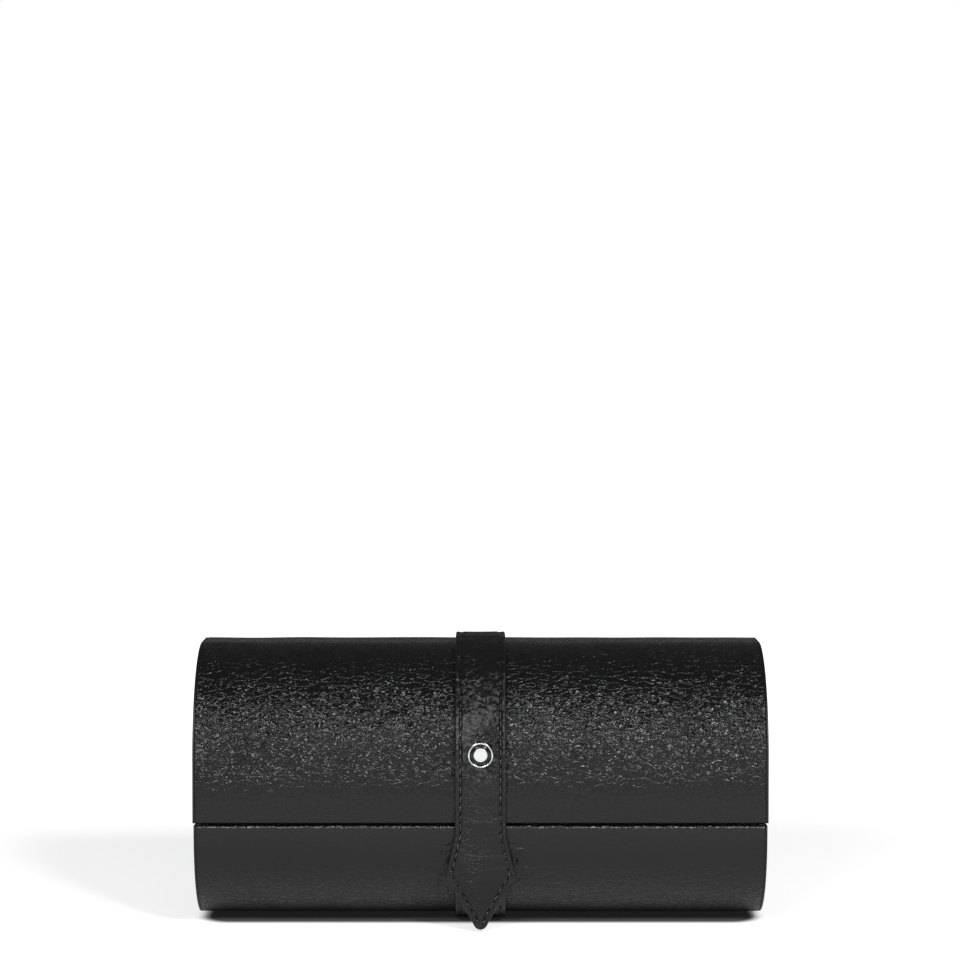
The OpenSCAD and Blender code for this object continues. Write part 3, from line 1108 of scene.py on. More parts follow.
@dataclass
class Strip:
    """A flat leather strip that follows a side view: rounded painted edges and a sewn groove near each."""

    path: SideView
    half_width: Callable[[np.ndarray], np.ndarray]
    edge_loop: np.ndarray
    low: float
    high: float
    rows: np.ndarray
    edge_r: float = 0.62
    groove_at: float = 1.9
    groove_w: float = 0.42
    groove_d: float = 0.4
    seed: int = 11
    gathered_at: float = -99.0
    gathered: float = 0.0

    @property
    def middle(self) -> float:
        """Height of the strip's middle layer above the path."""
        return (self.low + self.high) / 2

    def depth_inside(self, x: np.ndarray, s: np.ndarray) -> np.ndarray:
        """Measures the distance from the strip's cut edge, laid flat.

        Args:
            x: Places across.
            s: Places along.

        Returns:
            Distances in millimetres.
        """
        here = np.stack([x.ravel(), s.ravel()], 1)
        best = np.full(len(here), 1e9)
        for a, b in zip(self.edge_loop[:-1], self.edge_loop[1:]):
            d = b - a
            t = np.clip(((here - a) @ d) / max(d @ d, 1e-12), 0, 1)
            best = np.minimum(best, np.hypot(*(here - a - t[:, None] * d).T))
        return best.reshape(x.shape)

    def surface_lift(self, x: np.ndarray, s: np.ndarray, depth: np.ndarray) -> np.ndarray:
        """Finds the height of the outer face above the path.

        Args:
            x: Places across.
            s: Places along.
            depth: Their distances from the cut edge.

        Returns:
            Heights in millimetres.
        """
        face = self.middle + (self.high - self.middle) * rounded_edge(depth, self.edge_r, 2.6)
        groove = self.groove_d * np.exp(-((depth - self.groove_at) / self.groove_w) ** 2)
        swell = 0.07 * waves(x, s, 6.0, self.seed) + 0.05 * waves(x * 0.4, s, 2.2, self.seed + 1)
        # each stitch draws the leather beside it down a little
        pinch = 0.5 + 0.5 * np.cos(2 * math.pi * s / PITCH)
        bead = -0.05 * np.exp(-((depth - self.groove_at) / 1.5) ** 2) * pinch
        # the emblem's prongs draw the leather up in small ridges round it
        off = np.hypot(x, s - self.gathered_at)
        ridges = waves(x * 1.3 + s * 0.3, s * 0.7, 1.7, self.seed + 2)
        ridge = self.gathered * np.exp(-((off - 6.5) / 3.2) ** 2) * ridges
        return face - groove + (swell + bead + ridge) * np.clip((depth - 0.4) / 1.0, 0, 1) - 0.1

    def mesh(self, name: str) -> bpy.types.Object:
        """Builds the strip as a closed mesh, with finishes for its face, its edge and its groove, whose
        darker colour is painted shade.

        Args:
            name: The piece's name.

        Returns:
            The piece.
        """
        shares = np.linspace(0, 1, 17)[1:-1]
        columns = []
        for half in self.half_width(self.rows):
            side = half - NEAR_EDGE * min(1.0, half / 3.4)
            columns.append(np.concatenate([-side, np.sort(side[-1] * (1 - 2 * shares)), side[::-1]]))
        x = np.array(columns)
        depth = self.depth_inside(x, np.repeat(self.rows[:, None], x.shape[1], 1))
        top = self.surface_lift(x, np.repeat(self.rows[:, None], x.shape[1], 1), depth)
        top[:, [0, -1]] = self.middle
        bottom = self.middle - (self.middle - self.low) * rounded_edge(depth, self.edge_r, 2.6)
        across, lift, around = mirrored(x, x), mirrored(top, bottom), mirrored(depth, depth)
        base, out = path_places(self.path, self.rows)
        rings = [np.column_stack([across[i], base[i] + out[i] * lift[i][:, None]])
                 for i in range(len(self.rows))]
        points, faces = loft(rings)
        ahead = np.roll(around, -1, 1)
        corners = np.stack([around[:-1], ahead[:-1], around[1:], ahead[1:]])
        upper = np.arange(around.shape[1]) < x.shape[1] - 1
        # the groove's faces get the darker finish: painted shade in the groove
        groove_shade_faces = upper & (np.abs(corners - self.groove_at).max(0) < 0.34)
        picks = np.where(corners.min(0) < 0.3, 1, np.where(groove_shade_faces, 2, 0)).ravel().tolist() + [1, 1]
        hide = np.stack([points[:, 0], np.repeat(self.rows, around.shape[1])], 1)
        return mesh_object(name, points, faces, [Surface.STRAP, Surface.EDGE, Surface.GROOVE_SHADE], picks, hide)

    def thread_line(self, flat: np.ndarray) -> np.ndarray:
        """Lays a flat line of stitches on the strip's face.

        Args:
            flat: Points across and along.

        Returns:
            Points in space.
        """
        x, s = flat[:, 0], flat[:, 1]
        lift = self.surface_lift(x, s, self.depth_inside(x, s)) + 0.12
        base, out = path_places(self.path, s)
        return np.column_stack([x, base + out * lift[:, None]])


@dataclass
class Stitches:
    """A row of saddle stitches, set out by Geometry Nodes along its lines."""

    name: str
    lines: Sequence[np.ndarray]
    length: float = 2.7
    thickness: float = 0.6
    lean: float = 0.12
    seed: int = 5

    def tree(self) -> bpy.types.NodeTree:
        """Builds the node tree that sets the stitches out.

        Returns:
            The tree.
        """
        tree = bpy.data.node_groups.new(self.name, "GeometryNodeTree")
        inputs = {"Line": "Geometry", "Pitch": "Float", "Length": "Float", "Thickness": "Float",
                  "Lean": "Float", "Seed": "Int"}
        for name, kind in inputs.items():
            tree.interface.new_socket(name, in_out="INPUT", socket_type="NodeSocket" + kind)
        tree.interface.new_socket("Thread", in_out="OUTPUT", socket_type="NodeSocketGeometry")
        add = Bench(tree).add
        given = add("NodeGroupInput")
        curve = add("GeometryNodeMeshToCurve", {"Mesh": given["Line"]})[0]
        even = add("GeometryNodeResampleCurve", {"Curve": curve, "Length": given["Pitch"]}, mode="LENGTH")[0]
        ways = {"Seed": given["Seed"], 0: (-1, -1, -1), 1: (1, 1, 1)}
        wobble = add("FunctionNodeRandomValue", ways, data_type="FLOAT_VECTOR")[0]
        leaned = add("ShaderNodeVectorMath", {0: wobble, "Scale": given["Lean"]}, operation="SCALE")[0]
        way = add("GeometryNodeInputTangent")[0]
        aim = add("ShaderNodeVectorMath", {0: way, 1: leaned}, operation="ADD")[0]
        turn = add("FunctionNodeAlignRotationToVector", {"Vector": aim}, axis="Z")[0]
        # one stitch is a short round bar with blunt ends, of a few dozen faces
        bar = add("GeometryNodeMeshUVSphere", {"Segments": 8, "Rings": 6, "Radius": 0.5})[0]
        sizes = {"X": given["Thickness"], "Y": given["Thickness"], "Z": given["Length"]}
        size = add("ShaderNodeCombineXYZ", sizes)[0]
        ends = {"Points": even, "Instance": bar, "Rotation": turn, "Scale": size}
        laid = add("GeometryNodeInstanceOnPoints", ends)[0]
        real = add("GeometryNodeRealizeInstances", {"Geometry": laid})[0]
        smooth = add("GeometryNodeSetShadeSmooth", {"Geometry": real})[0]
        dressed = add("GeometryNodeSetMaterial", {"Geometry": smooth, "Material": Surface.THREAD.build()})[0]
        add("NodeGroupOutput", {"Thread": dressed})
        return tree

    def build(self) -> bpy.types.Object:
        """Runs the tree and keeps its result as a plain mesh.

        Returns:
            The stitches.
        """
        edges, first = [], 0
        for line in self.lines:
            edges += [(i, i + 1) for i in range(first, first + len(line) - 1)]
            first += len(line)
        host_mesh = bpy.data.meshes.new(self.name + "_line")
        host_mesh.from_pydata((np.concatenate(self.lines) * MM).tolist(), edges, [])
        host = shown(self.name + "_line", host_mesh)
        tree = self.tree()
        modifier = host.modifiers.new("stitches", "NODES")
        modifier.node_group = tree
        wanted = {"Pitch": PITCH * MM, "Length": self.length * MM, "Thickness": self.thickness * MM,
                  "Lean": self.lean, "Seed": self.seed}
        for item in tree.interface.items_tree:
            if item.name in wanted and item.in_out == "INPUT":
                modifier[item.identifier] = wanted[item.name]
        graph = bpy.context.evaluated_depsgraph_get()
        mesh = bpy.data.meshes.new_from_object(host.evaluated_get(graph))
        mesh.name = self.name
        bpy.data.objects.remove(host)
        if not mesh.materials:
            mesh.materials.append(Surface.THREAD.build())
        LOG.info("piece %s: %d faces", self.name, len(mesh.polygons))
        return shown(self.name, mesh)


@dataclass
class Belt:
    """The belt: from a hidden end behind the tongue, under the base, up the back and over the lid."""

    sizes: CaseSizes
    width: float = 17.0
    thick: float = 2.0
    front_end: float = 21.15
    root: float = 8.0
    root_gap: float = 0.3
    spine: float = 4.0

    def build(self) -> list[bpy.types.Object]:
        """Builds the belt and its rows of stitches.

        Returns:
            The pieces.
        """
        s = self.sizes
        down = math.asin((s.foot + s.bottom_r - self.front_end) / (s.bottom_r + self.thick))
        end = s.s_round + s.flat_low + s.bottom_r * (math.pi / 2 - down)
        start = s.s_crown - s.top_r * math.asin((self.root - self.root_gap / 2 - s.flat_high) / s.top_r)
        half = self.width / 2
        loop = np.array([(-half, start), (half, start), (half, end), (-half, end), (-half, start)])
        rows = joined(start + NEAR_END, spread(start + 1, end - 1, 0.8), end - NEAR_END)
        strip = Strip(s.outline(), lambda k: np.full_like(k, half), loop, 0.02, self.thick + 0.1, rows)
        belt = strip.mesh("belt")
        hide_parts("belt_lower_leather", "belt_lower_lining", "belt_back_leather", "belt_back_lining")
        at = half - strip.groove_at
        run = np.linspace(start + 2.2, end - 2.2, 400)
        flat = [np.stack([np.full(400, side * at), run], 1) for side in (-1, 1)]
        flat.append(np.stack([np.linspace(-at + 1.2, at - 1.2, 40), np.full(40, end - 1.9)], 1))
        thread = Stitches("belt_stitches", [strip.thread_line(line) for line in flat]).build()
        for piece in (belt, thread):
            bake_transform(piece)
        return [belt, thread]


@dataclass
class Strap:
    """The closing strap: over the crown, straight down the front, and curled in at its pointed tongue."""

    sizes: CaseSizes
    width: float = 17.0
    tongue: float = 23.2
    flare_from: float = 32.5
    point_at: float = 19.3
    point_flat: float = 0.3
    tip_at: float = 0.9
    tip_r: float = 2.4
    hollow: float = 0.3
    bend_at: float = 24.0
    bend_r: float = 90.0
    clear: float = 0.3
    thick: float = 2.0
    root: float = 8.0
    root_gap: float = 0.3
    emblem_at: float = 59.2

    @property
    def middle(self) -> float:
        """Height of the strap's middle layer above the case."""
        return self.clear + self.thick / 2

    @property
    def curl(self) -> float:
        """Angle of the tongue's curl, from the tip to where it starts."""
        return math.asin((self.bend_at - self.tip_at) / (self.bend_r + self.middle))

    @property
    def straight(self) -> float:
        """Length of the straight front above the curl."""
        s = self.sizes
        return s.foot + s.height - s.top_r - self.bend_at

    def path(self) -> SideView:
        """Returns the walk from the tip up the front and over the crown."""
        s, a = self.sizes, self.curl
        start = (self.bend_r - s.half_d - self.bend_r * math.cos(a), self.bend_at - self.bend_r * math.sin(a))
        curled, straight = (self.bend_r * a, -1 / self.bend_r), (self.straight, 0.0)
        crown = ((s.quarter_high, -1 / s.top_r), (s.flat_high, 0.0))
        return SideView(start, math.pi / 2 + a, (curled, straight, *crown))

    def along(self, z: float) -> float:
        """Turns a height on the tongue or the straight front into distance from the tip."""
        if z >= self.bend_at:
            return self.bend_r * self.curl + z - self.bend_at
        return self.bend_r * (self.curl - math.asin((self.bend_at - z) / (self.bend_r + self.middle)))

    def half_outline(self) -> np.ndarray:
        """Walks up the right edge of the front view, from the tip to where the flare ends."""
        half, wide = self.width / 2, self.tongue / 2
        low, high = self.point_at - self.point_flat / 2, self.point_at + self.point_flat / 2
        corner, tip = np.array([wide, low]), np.array([0.0, self.tip_at + self.tip_r])
        aim = math.atan2(low - tip[1], wide) - math.acos(self.tip_r / np.linalg.norm(corner - tip))
        way = np.array([math.cos(aim), math.sin(aim)])
        touch = tip + self.tip_r * way
        chord = np.linalg.norm(corner - touch)
        r = (chord ** 2 / 4 + self.hollow ** 2) / (2 * self.hollow)
        centre = (corner + touch) / 2 + (r - self.hollow) * way
        a0, a1 = (math.atan2(*(end - centre)[::-1]) % (2 * math.pi) for end in (touch, corner))
        points = arc(tip, self.tip_r, -math.pi / 2, aim, 14) + arc(centre, r, a0, a1, 30)[1:]
        for z in np.linspace(high, self.flare_from + 3.0, 30):
            # the straight flare runs into the strap's side in a soft bend
            off = (self.flare_from - z) * (wide - half) / (self.flare_from - high)
            points.append((half + (off + math.sqrt(off * off + 0.03)) / 2, z))
        points.append((half, self.flare_from + 6.0))
        return np.array(points)

    def build(self) -> list[bpy.types.Object]:
        """Builds the strap and its stitches.

        Returns:
            The pieces.
        """
        s = self.sizes
        flat = np.array([(x, self.along(z)) for x, z in self.half_outline()])
        crown = self.bend_r * self.curl + self.straight + s.quarter_high
        end = crown - s.top_r * math.asin((self.root + self.root_gap / 2 - s.flat_high) / s.top_r)
        right = np.concatenate([flat, [(self.width / 2, end)]])
        loop = np.concatenate([right, right[::-1] * np.array([-1, 1])])
        corner = self.along(self.point_at)
        rows = joined(NEAR_TIP, spread(2.0, corner - 1.2, 0.42), corner + NEAR_POINT,
                      spread(corner + 1.1, end - 1, 0.62), end - NEAR_END)
        strip = Strip(self.path(), lambda k: np.interp(k, right[:, 1], right[:, 0]), loop, self.clear,
                      self.clear + self.thick + 0.1, rows, seed=23,
                      gathered_at=self.along(self.emblem_at), gathered=0.3)
        strap = strip.mesh("strap")
        settle(strap, Member.STRAP, Slot.SMOOTH, ("strap_leather", "strap_lining"))
        line = strip.thread_line(self.sewn_line(flat, end, strip.groove_at))
        thread = Stitches("strap_stitches", [line], seed=9).build()
        settle(thread, Member.STRAP, Slot.SMOOTH)
        return [strap, thread]

    def sewn_line(self, flat: np.ndarray, end: float, inset: float) -> np.ndarray:
        """Runs the seam inside the edge: down one side, round the point and up the other.

        Args:
            flat: The right edge, flattened, from the tip up.
            end: The root's place along.
            inset: Distance of the seam from the edge.

        Returns:
            The seam's points, flat.
        """
        corner = int(np.argmax(flat[:, 0]))
        moved = []
        for run in (flat[corner:], flat[:corner + 1]):
            d = np.gradient(run, axis=0)
            across = np.stack([-d[:, 1], d[:, 0]], 1)
            moved.append(run + across / np.linalg.norm(across, axis=1)[:, None] * inset)
        side, lower = moved
        lower = lower[(lower[:, 0] > 0) & (flat[:corner + 1, 0] > 1.6)]
        # the two runs are cut where they meet below the point
        gap = np.hypot(*(side[:, None] - lower[None]).transpose(2, 0, 1))
        i, j = np.unravel_index(int(np.argmin(gap)), gap.shape)
        slope = (lower[0, 1] - lower[3, 1]) / (lower[0, 0] - lower[3, 0])
        vertex = np.array([0.0, lower[0, 1] - slope * lower[0, 0]])
        run = np.linspace(side[-1, 1] + 0.3, end - 2.2, 300)
        straight = np.stack([np.full(300, self.width / 2 - inset), run], 1)
        right = np.concatenate([[vertex], lower[:j], side[i:], straight])
        return np.concatenate([right[::-1] * np.array([-1, 1]), right[1:]])


# ---------------------------------------------------------------- metal, hinge, pillows and pads


def turned(name: str, profile: Sequence[Point2], centre: Point3, surface: Surface,
           sides: int = 96) -> bpy.types.Object:
    """Turns a closed profile round an axis along Y.

    Args:
        name: The piece's name.
        profile: Closed profile of radius and distance towards the front.
        centre: Where the axis starts.
        surface: Its finish.
        sides: Number of faces round.

    Returns:
        The piece.
    """
    cx, cy, cz = centre
    closed = profile[0][0] > 1e-6
    points, faces, count = [], [], len(profile)
    for i in range(sides):
        turn = 2 * math.pi * i / sides
        points += [(cx + r * math.cos(turn), cy - d, cz + r * math.sin(turn)) for r, d in profile]
        a, b = i * count, ((i + 1) % sides) * count
        for j in range(count if closed else count - 1):
            k = (j + 1) % count
            faces.append((a + j, b + j, b + k, a + k))
    piece = mesh_object(name, points, faces, [surface])
    if not closed:
        smooth_normals(piece.data, weld=1e-7)
    return piece


@dataclass
class Emblem:
    """The round metal emblem on the strap: a bright ring, a black field and a plain disc."""

    at: Point3 = (0.0, -44.3, 59.2)
    outer: float = 8.45
    ring: float = 0.7
    proud: float = 1.5
    sunk: float = 0.2
    dot: float = 4.5

    def build(self) -> list[bpy.types.Object]:
        """Builds the ring, the field and the disc.

        Returns:
            The pieces.
        """
        big, small, r = self.outer / 2, self.outer / 2 - self.ring, self.ring / 2
        top, edge, dot = self.proud - self.sunk, small + 0.05, self.dot / 2
        bead = arc(((big + small) / 2, self.proud - r), r, 0, math.pi, 13)
        field_line = [(0.0, 0.0), (edge, 0.0), (edge, top - 0.12), (small * 0.7, top - 0.03), (0.0, top)]
        dome = [(dot - 0.14 + 0.14 * math.cos(a), top + 0.04 + 0.12 * math.sin(a))
                for a in np.linspace(0, math.pi / 2, 6)]
        disc_line = [(0.0, top - 0.1), (dot, top - 0.1)] + dome + [(dot / 2, top + 0.19), (0.0, top + 0.2)]
        ring = turned("emblem_ring", [(big, 0.0)] + bead + [(small, 0.0)], self.at, Surface.BRIGHT)
        enamel = turned("emblem_enamel", field_line, self.at, Surface.ENAMEL)
        disc = turned("emblem_disc", disc_line, self.at, Surface.DOT)
        return [settle(ring, Member.STRAP, Slot.BRIGHT, ("emblem_bezel",)),
                settle(enamel, Member.STRAP, Slot.ENAMEL, ("emblem_field",)),
                settle(disc, Member.STRAP, Slot.BRIGHT, ("emblem_dot",))]


@dataclass
class Hinge:
    """The thin leather that joins lid and base along the back seam."""

    sizes: CaseSizes
    reach: float = 92.5
    half_height: float = 1.5
    bend: float = 1.2
    sink: float = 0.5
    thick: float = 0.5

    def build(self) -> bpy.types.Object:
        """Builds the sunk strip.

        Returns:
            The piece.
        """
        s = self.sizes
        levels = np.linspace(-self.half_height, self.half_height, 15)
        back = [(s.half_d - 0.16 - self.sink * math.cos(k / self.half_height * math.pi / 2), s.seam + k)
                for k in levels]
        front = [(y - self.thick, z) for y, z in back[::-1]]
        points, faces = loft([at_x(x, back + front) for x in spread(-self.reach, self.reach, 1.5)])
        piece = mesh_object("hinge_leather", points, faces, [Surface.HINGE])
        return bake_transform(piece)


@dataclass
class Pillow:
    """A suede pillow that a watch is closed round: a foam block with a corded seam at each side panel."""

    width: float = 50.0
    depth: float = 62.0
    height: float = 52.0
    fullness: float = 2.9
    drawn: float = 0.17
    low: float = 9.3
    pitch: float = 60.367
    swell_cap: float = 1.3
    shrink: float = 1.1
    seam_at: float = 0.93
    cord_r: float = 0.6
    cord_steps: int = 96
    fill_frames: int = 20

    @property
    def middle(self) -> float:
        """Height of the pillow's middle."""
        return self.low + self.height / 2

    def place(self, u: float, t: float) -> Point3:
        """Finds a point of the foam block in the middle bay.

        Args:
            u: Place from -1 to 1 along the pillow.
            t: Angle round it.

        Returns:
            The point.
        """
        k = 1 - self.drawn * abs(u) ** 4 - self.drawn / 4 * abs(u) ** 16
        a, b = (self.depth / 2) * k - self.shrink, (self.height / 2 + 0.25) * k - self.shrink
        c, s = math.cos(t), math.sin(t)
        y = a * math.copysign(abs(c) ** (2 / self.fullness), c)
        z = b * math.copysign(abs(s) ** (2 / self.fullness), s)
        return (u * (self.width / 2 - self.shrink), y, max(z, -self.height / 2) + self.low + self.height / 2)

    def filled(self) -> bpy.types.Object:
        """Fills the cover by a cloth simulation and caps how far it may swell.

        Returns:
            The filled pillow, at the middle bay.
        """
        turns = [2 * math.pi * (j + 0.5) / 72 for j in range(72)]
        rings = [[self.place(-math.cos(math.pi * i / 24), t) for t in turns] for i in range(25)]
        block = mesh_object("pillow_block", *loft(rings), [Surface.PILLOW])
        remesh = block.modifiers.new("even", "REMESH")
        remesh.mode, remesh.voxel_size = "VOXEL", 3.6 * MM
        graph = bpy.context.evaluated_depsgraph_get()
        mesh = bpy.data.meshes.new_from_object(block.evaluated_get(graph))
        bpy.data.objects.remove(block)
        soft = shown("pillow_soft", mesh)
        rest = np.array([v.co for v in mesh.vertices])
        swollen = rest.copy()
        cloth = soft.modifiers.new("fill", "CLOTH")
        cloth.settings.use_pressure = True
        cloth.settings.uniform_pressure_force = 4.0
        cloth.settings.effector_weights.gravity = 0.0
        cloth.settings.quality = 5
        cloth.point_cache.frame_start, cloth.point_cache.frame_end = 1, self.fill_frames
        for frame_number in range(1, self.fill_frames + 1):
            bpy.context.scene.frame_set(frame_number)
        graph = bpy.context.evaluated_depsgraph_get()
        swollen = np.array([v.co for v in soft.evaluated_get(graph).data.vertices])
        soft.modifiers.remove(cloth)
        bpy.context.scene.frame_set(1)
        move = swollen - rest
        move *= np.minimum(1.0, self.swell_cap * MM / np.maximum(np.linalg.norm(move, axis=1), 1e-9))[:, None]
        settled = rest + move
        # the foot stands flat on the base's padded floor
        settled[:, 2] = np.maximum(settled[:, 2], self.low * MM)
        mesh.vertices.foreach_set("co", settled.ravel())
        mesh.polygons.foreach_set("use_smooth", [True] * len(mesh.polygons))
        mesh.update()
        return soft

    def build(self) -> list[bpy.types.Object]:
        """Builds the three pillows with their corded seams.

        Returns:
            The pieces.
        """
        soft = self.filled()
        made = []
        bays = ((-1, "left", Member.LEFT_PILLOW), (0, "middle", Member.MIDDLE_PILLOW),
                (1, "right", Member.RIGHT_PILLOW))
        for place, side, member in bays:
            mesh = soft.data.copy()
            points = np.array([v.co for v in mesh.vertices]) / MM
            ridge = 0.35 * waves(points[:, 0] * 0.7, points[:, 2] + points[:, 1] * 0.6, 13.0, 40 + place)
            u = np.abs(points[:, 0]) / (self.width / 2)
            seam = 0.7 * np.exp(-((u - self.seam_at) / 0.03) ** 2)
            away = points - np.array([0, 0, self.middle])
            away /= np.linalg.norm(away, axis=1)[:, None]
            points = points - away * (seam + np.abs(ridge) * 0.5)[:, None]
            points[:, 2] = np.maximum(points[:, 2], self.low)
            cover = BVHTree.FromPolygons(points.tolist(), [tuple(f.vertices) for f in mesh.polygons])
            points[:, 0] += place * self.pitch
            mesh.vertices.foreach_set("co", (points * MM).ravel())
            mesh.materials.clear()
            mesh.materials.append(Surface.PILLOW.build())
            mesh.update()
            pillow = shown(f"{side}_watch_pillow", mesh)
            finer = pillow.modifiers.new("smooth", "SUBSURF")
            finer.levels = finer.render_levels = 1
            cords = self.cording(f"{side}_pillow_cording", place, cover)
            settle(pillow, member, Slot.PILLOW, (f"pillow_{side}",))
            settle(cords, member, Slot.PILLOW)
            LOG.info("piece %s: %d faces", pillow.name, len(mesh.polygons))
            made += [pillow, cords]
        bpy.data.objects.remove(soft)
        return made

    def cording(self, name: str, place: int, cover: BVHTree) -> bpy.types.Object:
        """Makes the thin covered cord in both side seams.

        Args:
            name: The piece's name.
            place: -1, 0 or 1 for the left, middle or right bay.
            cover: The filled cover at the middle bay, that the cord lies on.

        Returns:
            The piece.
        """
        points, faces, steps, sides = [], [], self.cord_steps, 8
        for side in (-1, 1):
            start = Vector((side * self.seam_at * self.width / 2, 0.0, self.middle))
            line = []
            for turn in (2 * math.pi * j / steps for j in range(steps)):
                way = Vector((0.0, math.cos(turn), math.sin(turn)))
                x, y, z = (cover.ray_cast(start, way)[0] or start + way * 24) + way * 0.45
                line.append(np.array([x + place * self.pitch, y, max(z, self.low + 0.62)]))
            first = len(points)
            one = np.array([1.0, 0, 0])
            for j, p in enumerate(line):
                way = line[(j + 1) % steps] - line[j - 1]
                two = np.cross(way / np.linalg.norm(way), one)
                points += [p + self.cord_r * (one * math.cos(a) + two * math.sin(a))
                           for a in np.linspace(0, 2 * math.pi, sides + 1)[:-1]]
                a, b = first + j * sides, first + ((j + 1) % steps) * sides
                faces += [(a + k, b + k, b + (k + 1) % sides, a + (k + 1) % sides) for k in range(sides)]
        return mesh_object(name, np.array(points), faces, [Surface.PILLOW])


@dataclass
class Pad:
    """A thin foam pad under suede, with soft edges and a slightly raised middle."""

    name: str
    node: str
    member: Member
    path: SideView
    first: float
    last: float
    lift: float
    thick: float
    reach: float
    soft_r: float = 1.4

    def build(self) -> bpy.types.Object:
        """Builds the pad along the inside of the case.

        Returns:
            The piece.
        """
        close = np.array([0, 0.15, 0.4, 0.8, 1.4, 2.4])
        first, last, reach = self.first, self.last, self.reach
        stations = joined(first + close, spread(first + 2.4, last - 2.4, 2.0), last - close)
        columns = joined(-reach + close, spread(-reach + 2.4, reach - 2.4, 3.0), reach - close)
        base, out = path_places(self.path, stations)
        outer = base - out * (self.lift + 0.02)
        rings = []
        for x in columns:
            depth = np.minimum(np.minimum(stations - first, last - stations), reach - abs(x))
            share = rounded_edge(np.maximum(depth, 0.0), self.soft_r)
            puff = 0.12 * waves(np.full_like(stations, x), stations, 15.0, 71) * share
            height = self.thick * (0.25 + 0.75 * share) - 0.15 + puff
            inner = base - out * (self.lift + height)[:, None]
            rings.append(at_x(x, np.concatenate([inner, outer[::-1]])))
        piece = mesh_object(self.name, *loft(rings), [Surface.LINING])
        return settle(piece, self.member, Slot.LINING, (self.node,))


# ---------------------------------------------------------------- studio


@dataclass(frozen=True)
class Lamp:
    """A soft box, aimed at a point; its places and sizes are in metres."""

    name: str
    place: Point3
    aim: Point3
    width: float
    height: float
    power: float

    def build(self) -> bpy.types.Object:
        """Sets up the lamp.

        Returns:
            The lamp.
        """
        light = bpy.data.lights.new(self.name, "AREA")
        light.shape, light.size, light.size_y, light.energy = "RECTANGLE", self.width, self.height, self.power
        lamp = shown(self.name, light)
        lamp.location = self.place
        lamp.rotation_euler = (Vector(self.aim) - Vector(self.place)).to_track_quat("-Z", "Y").to_euler()
        return lamp


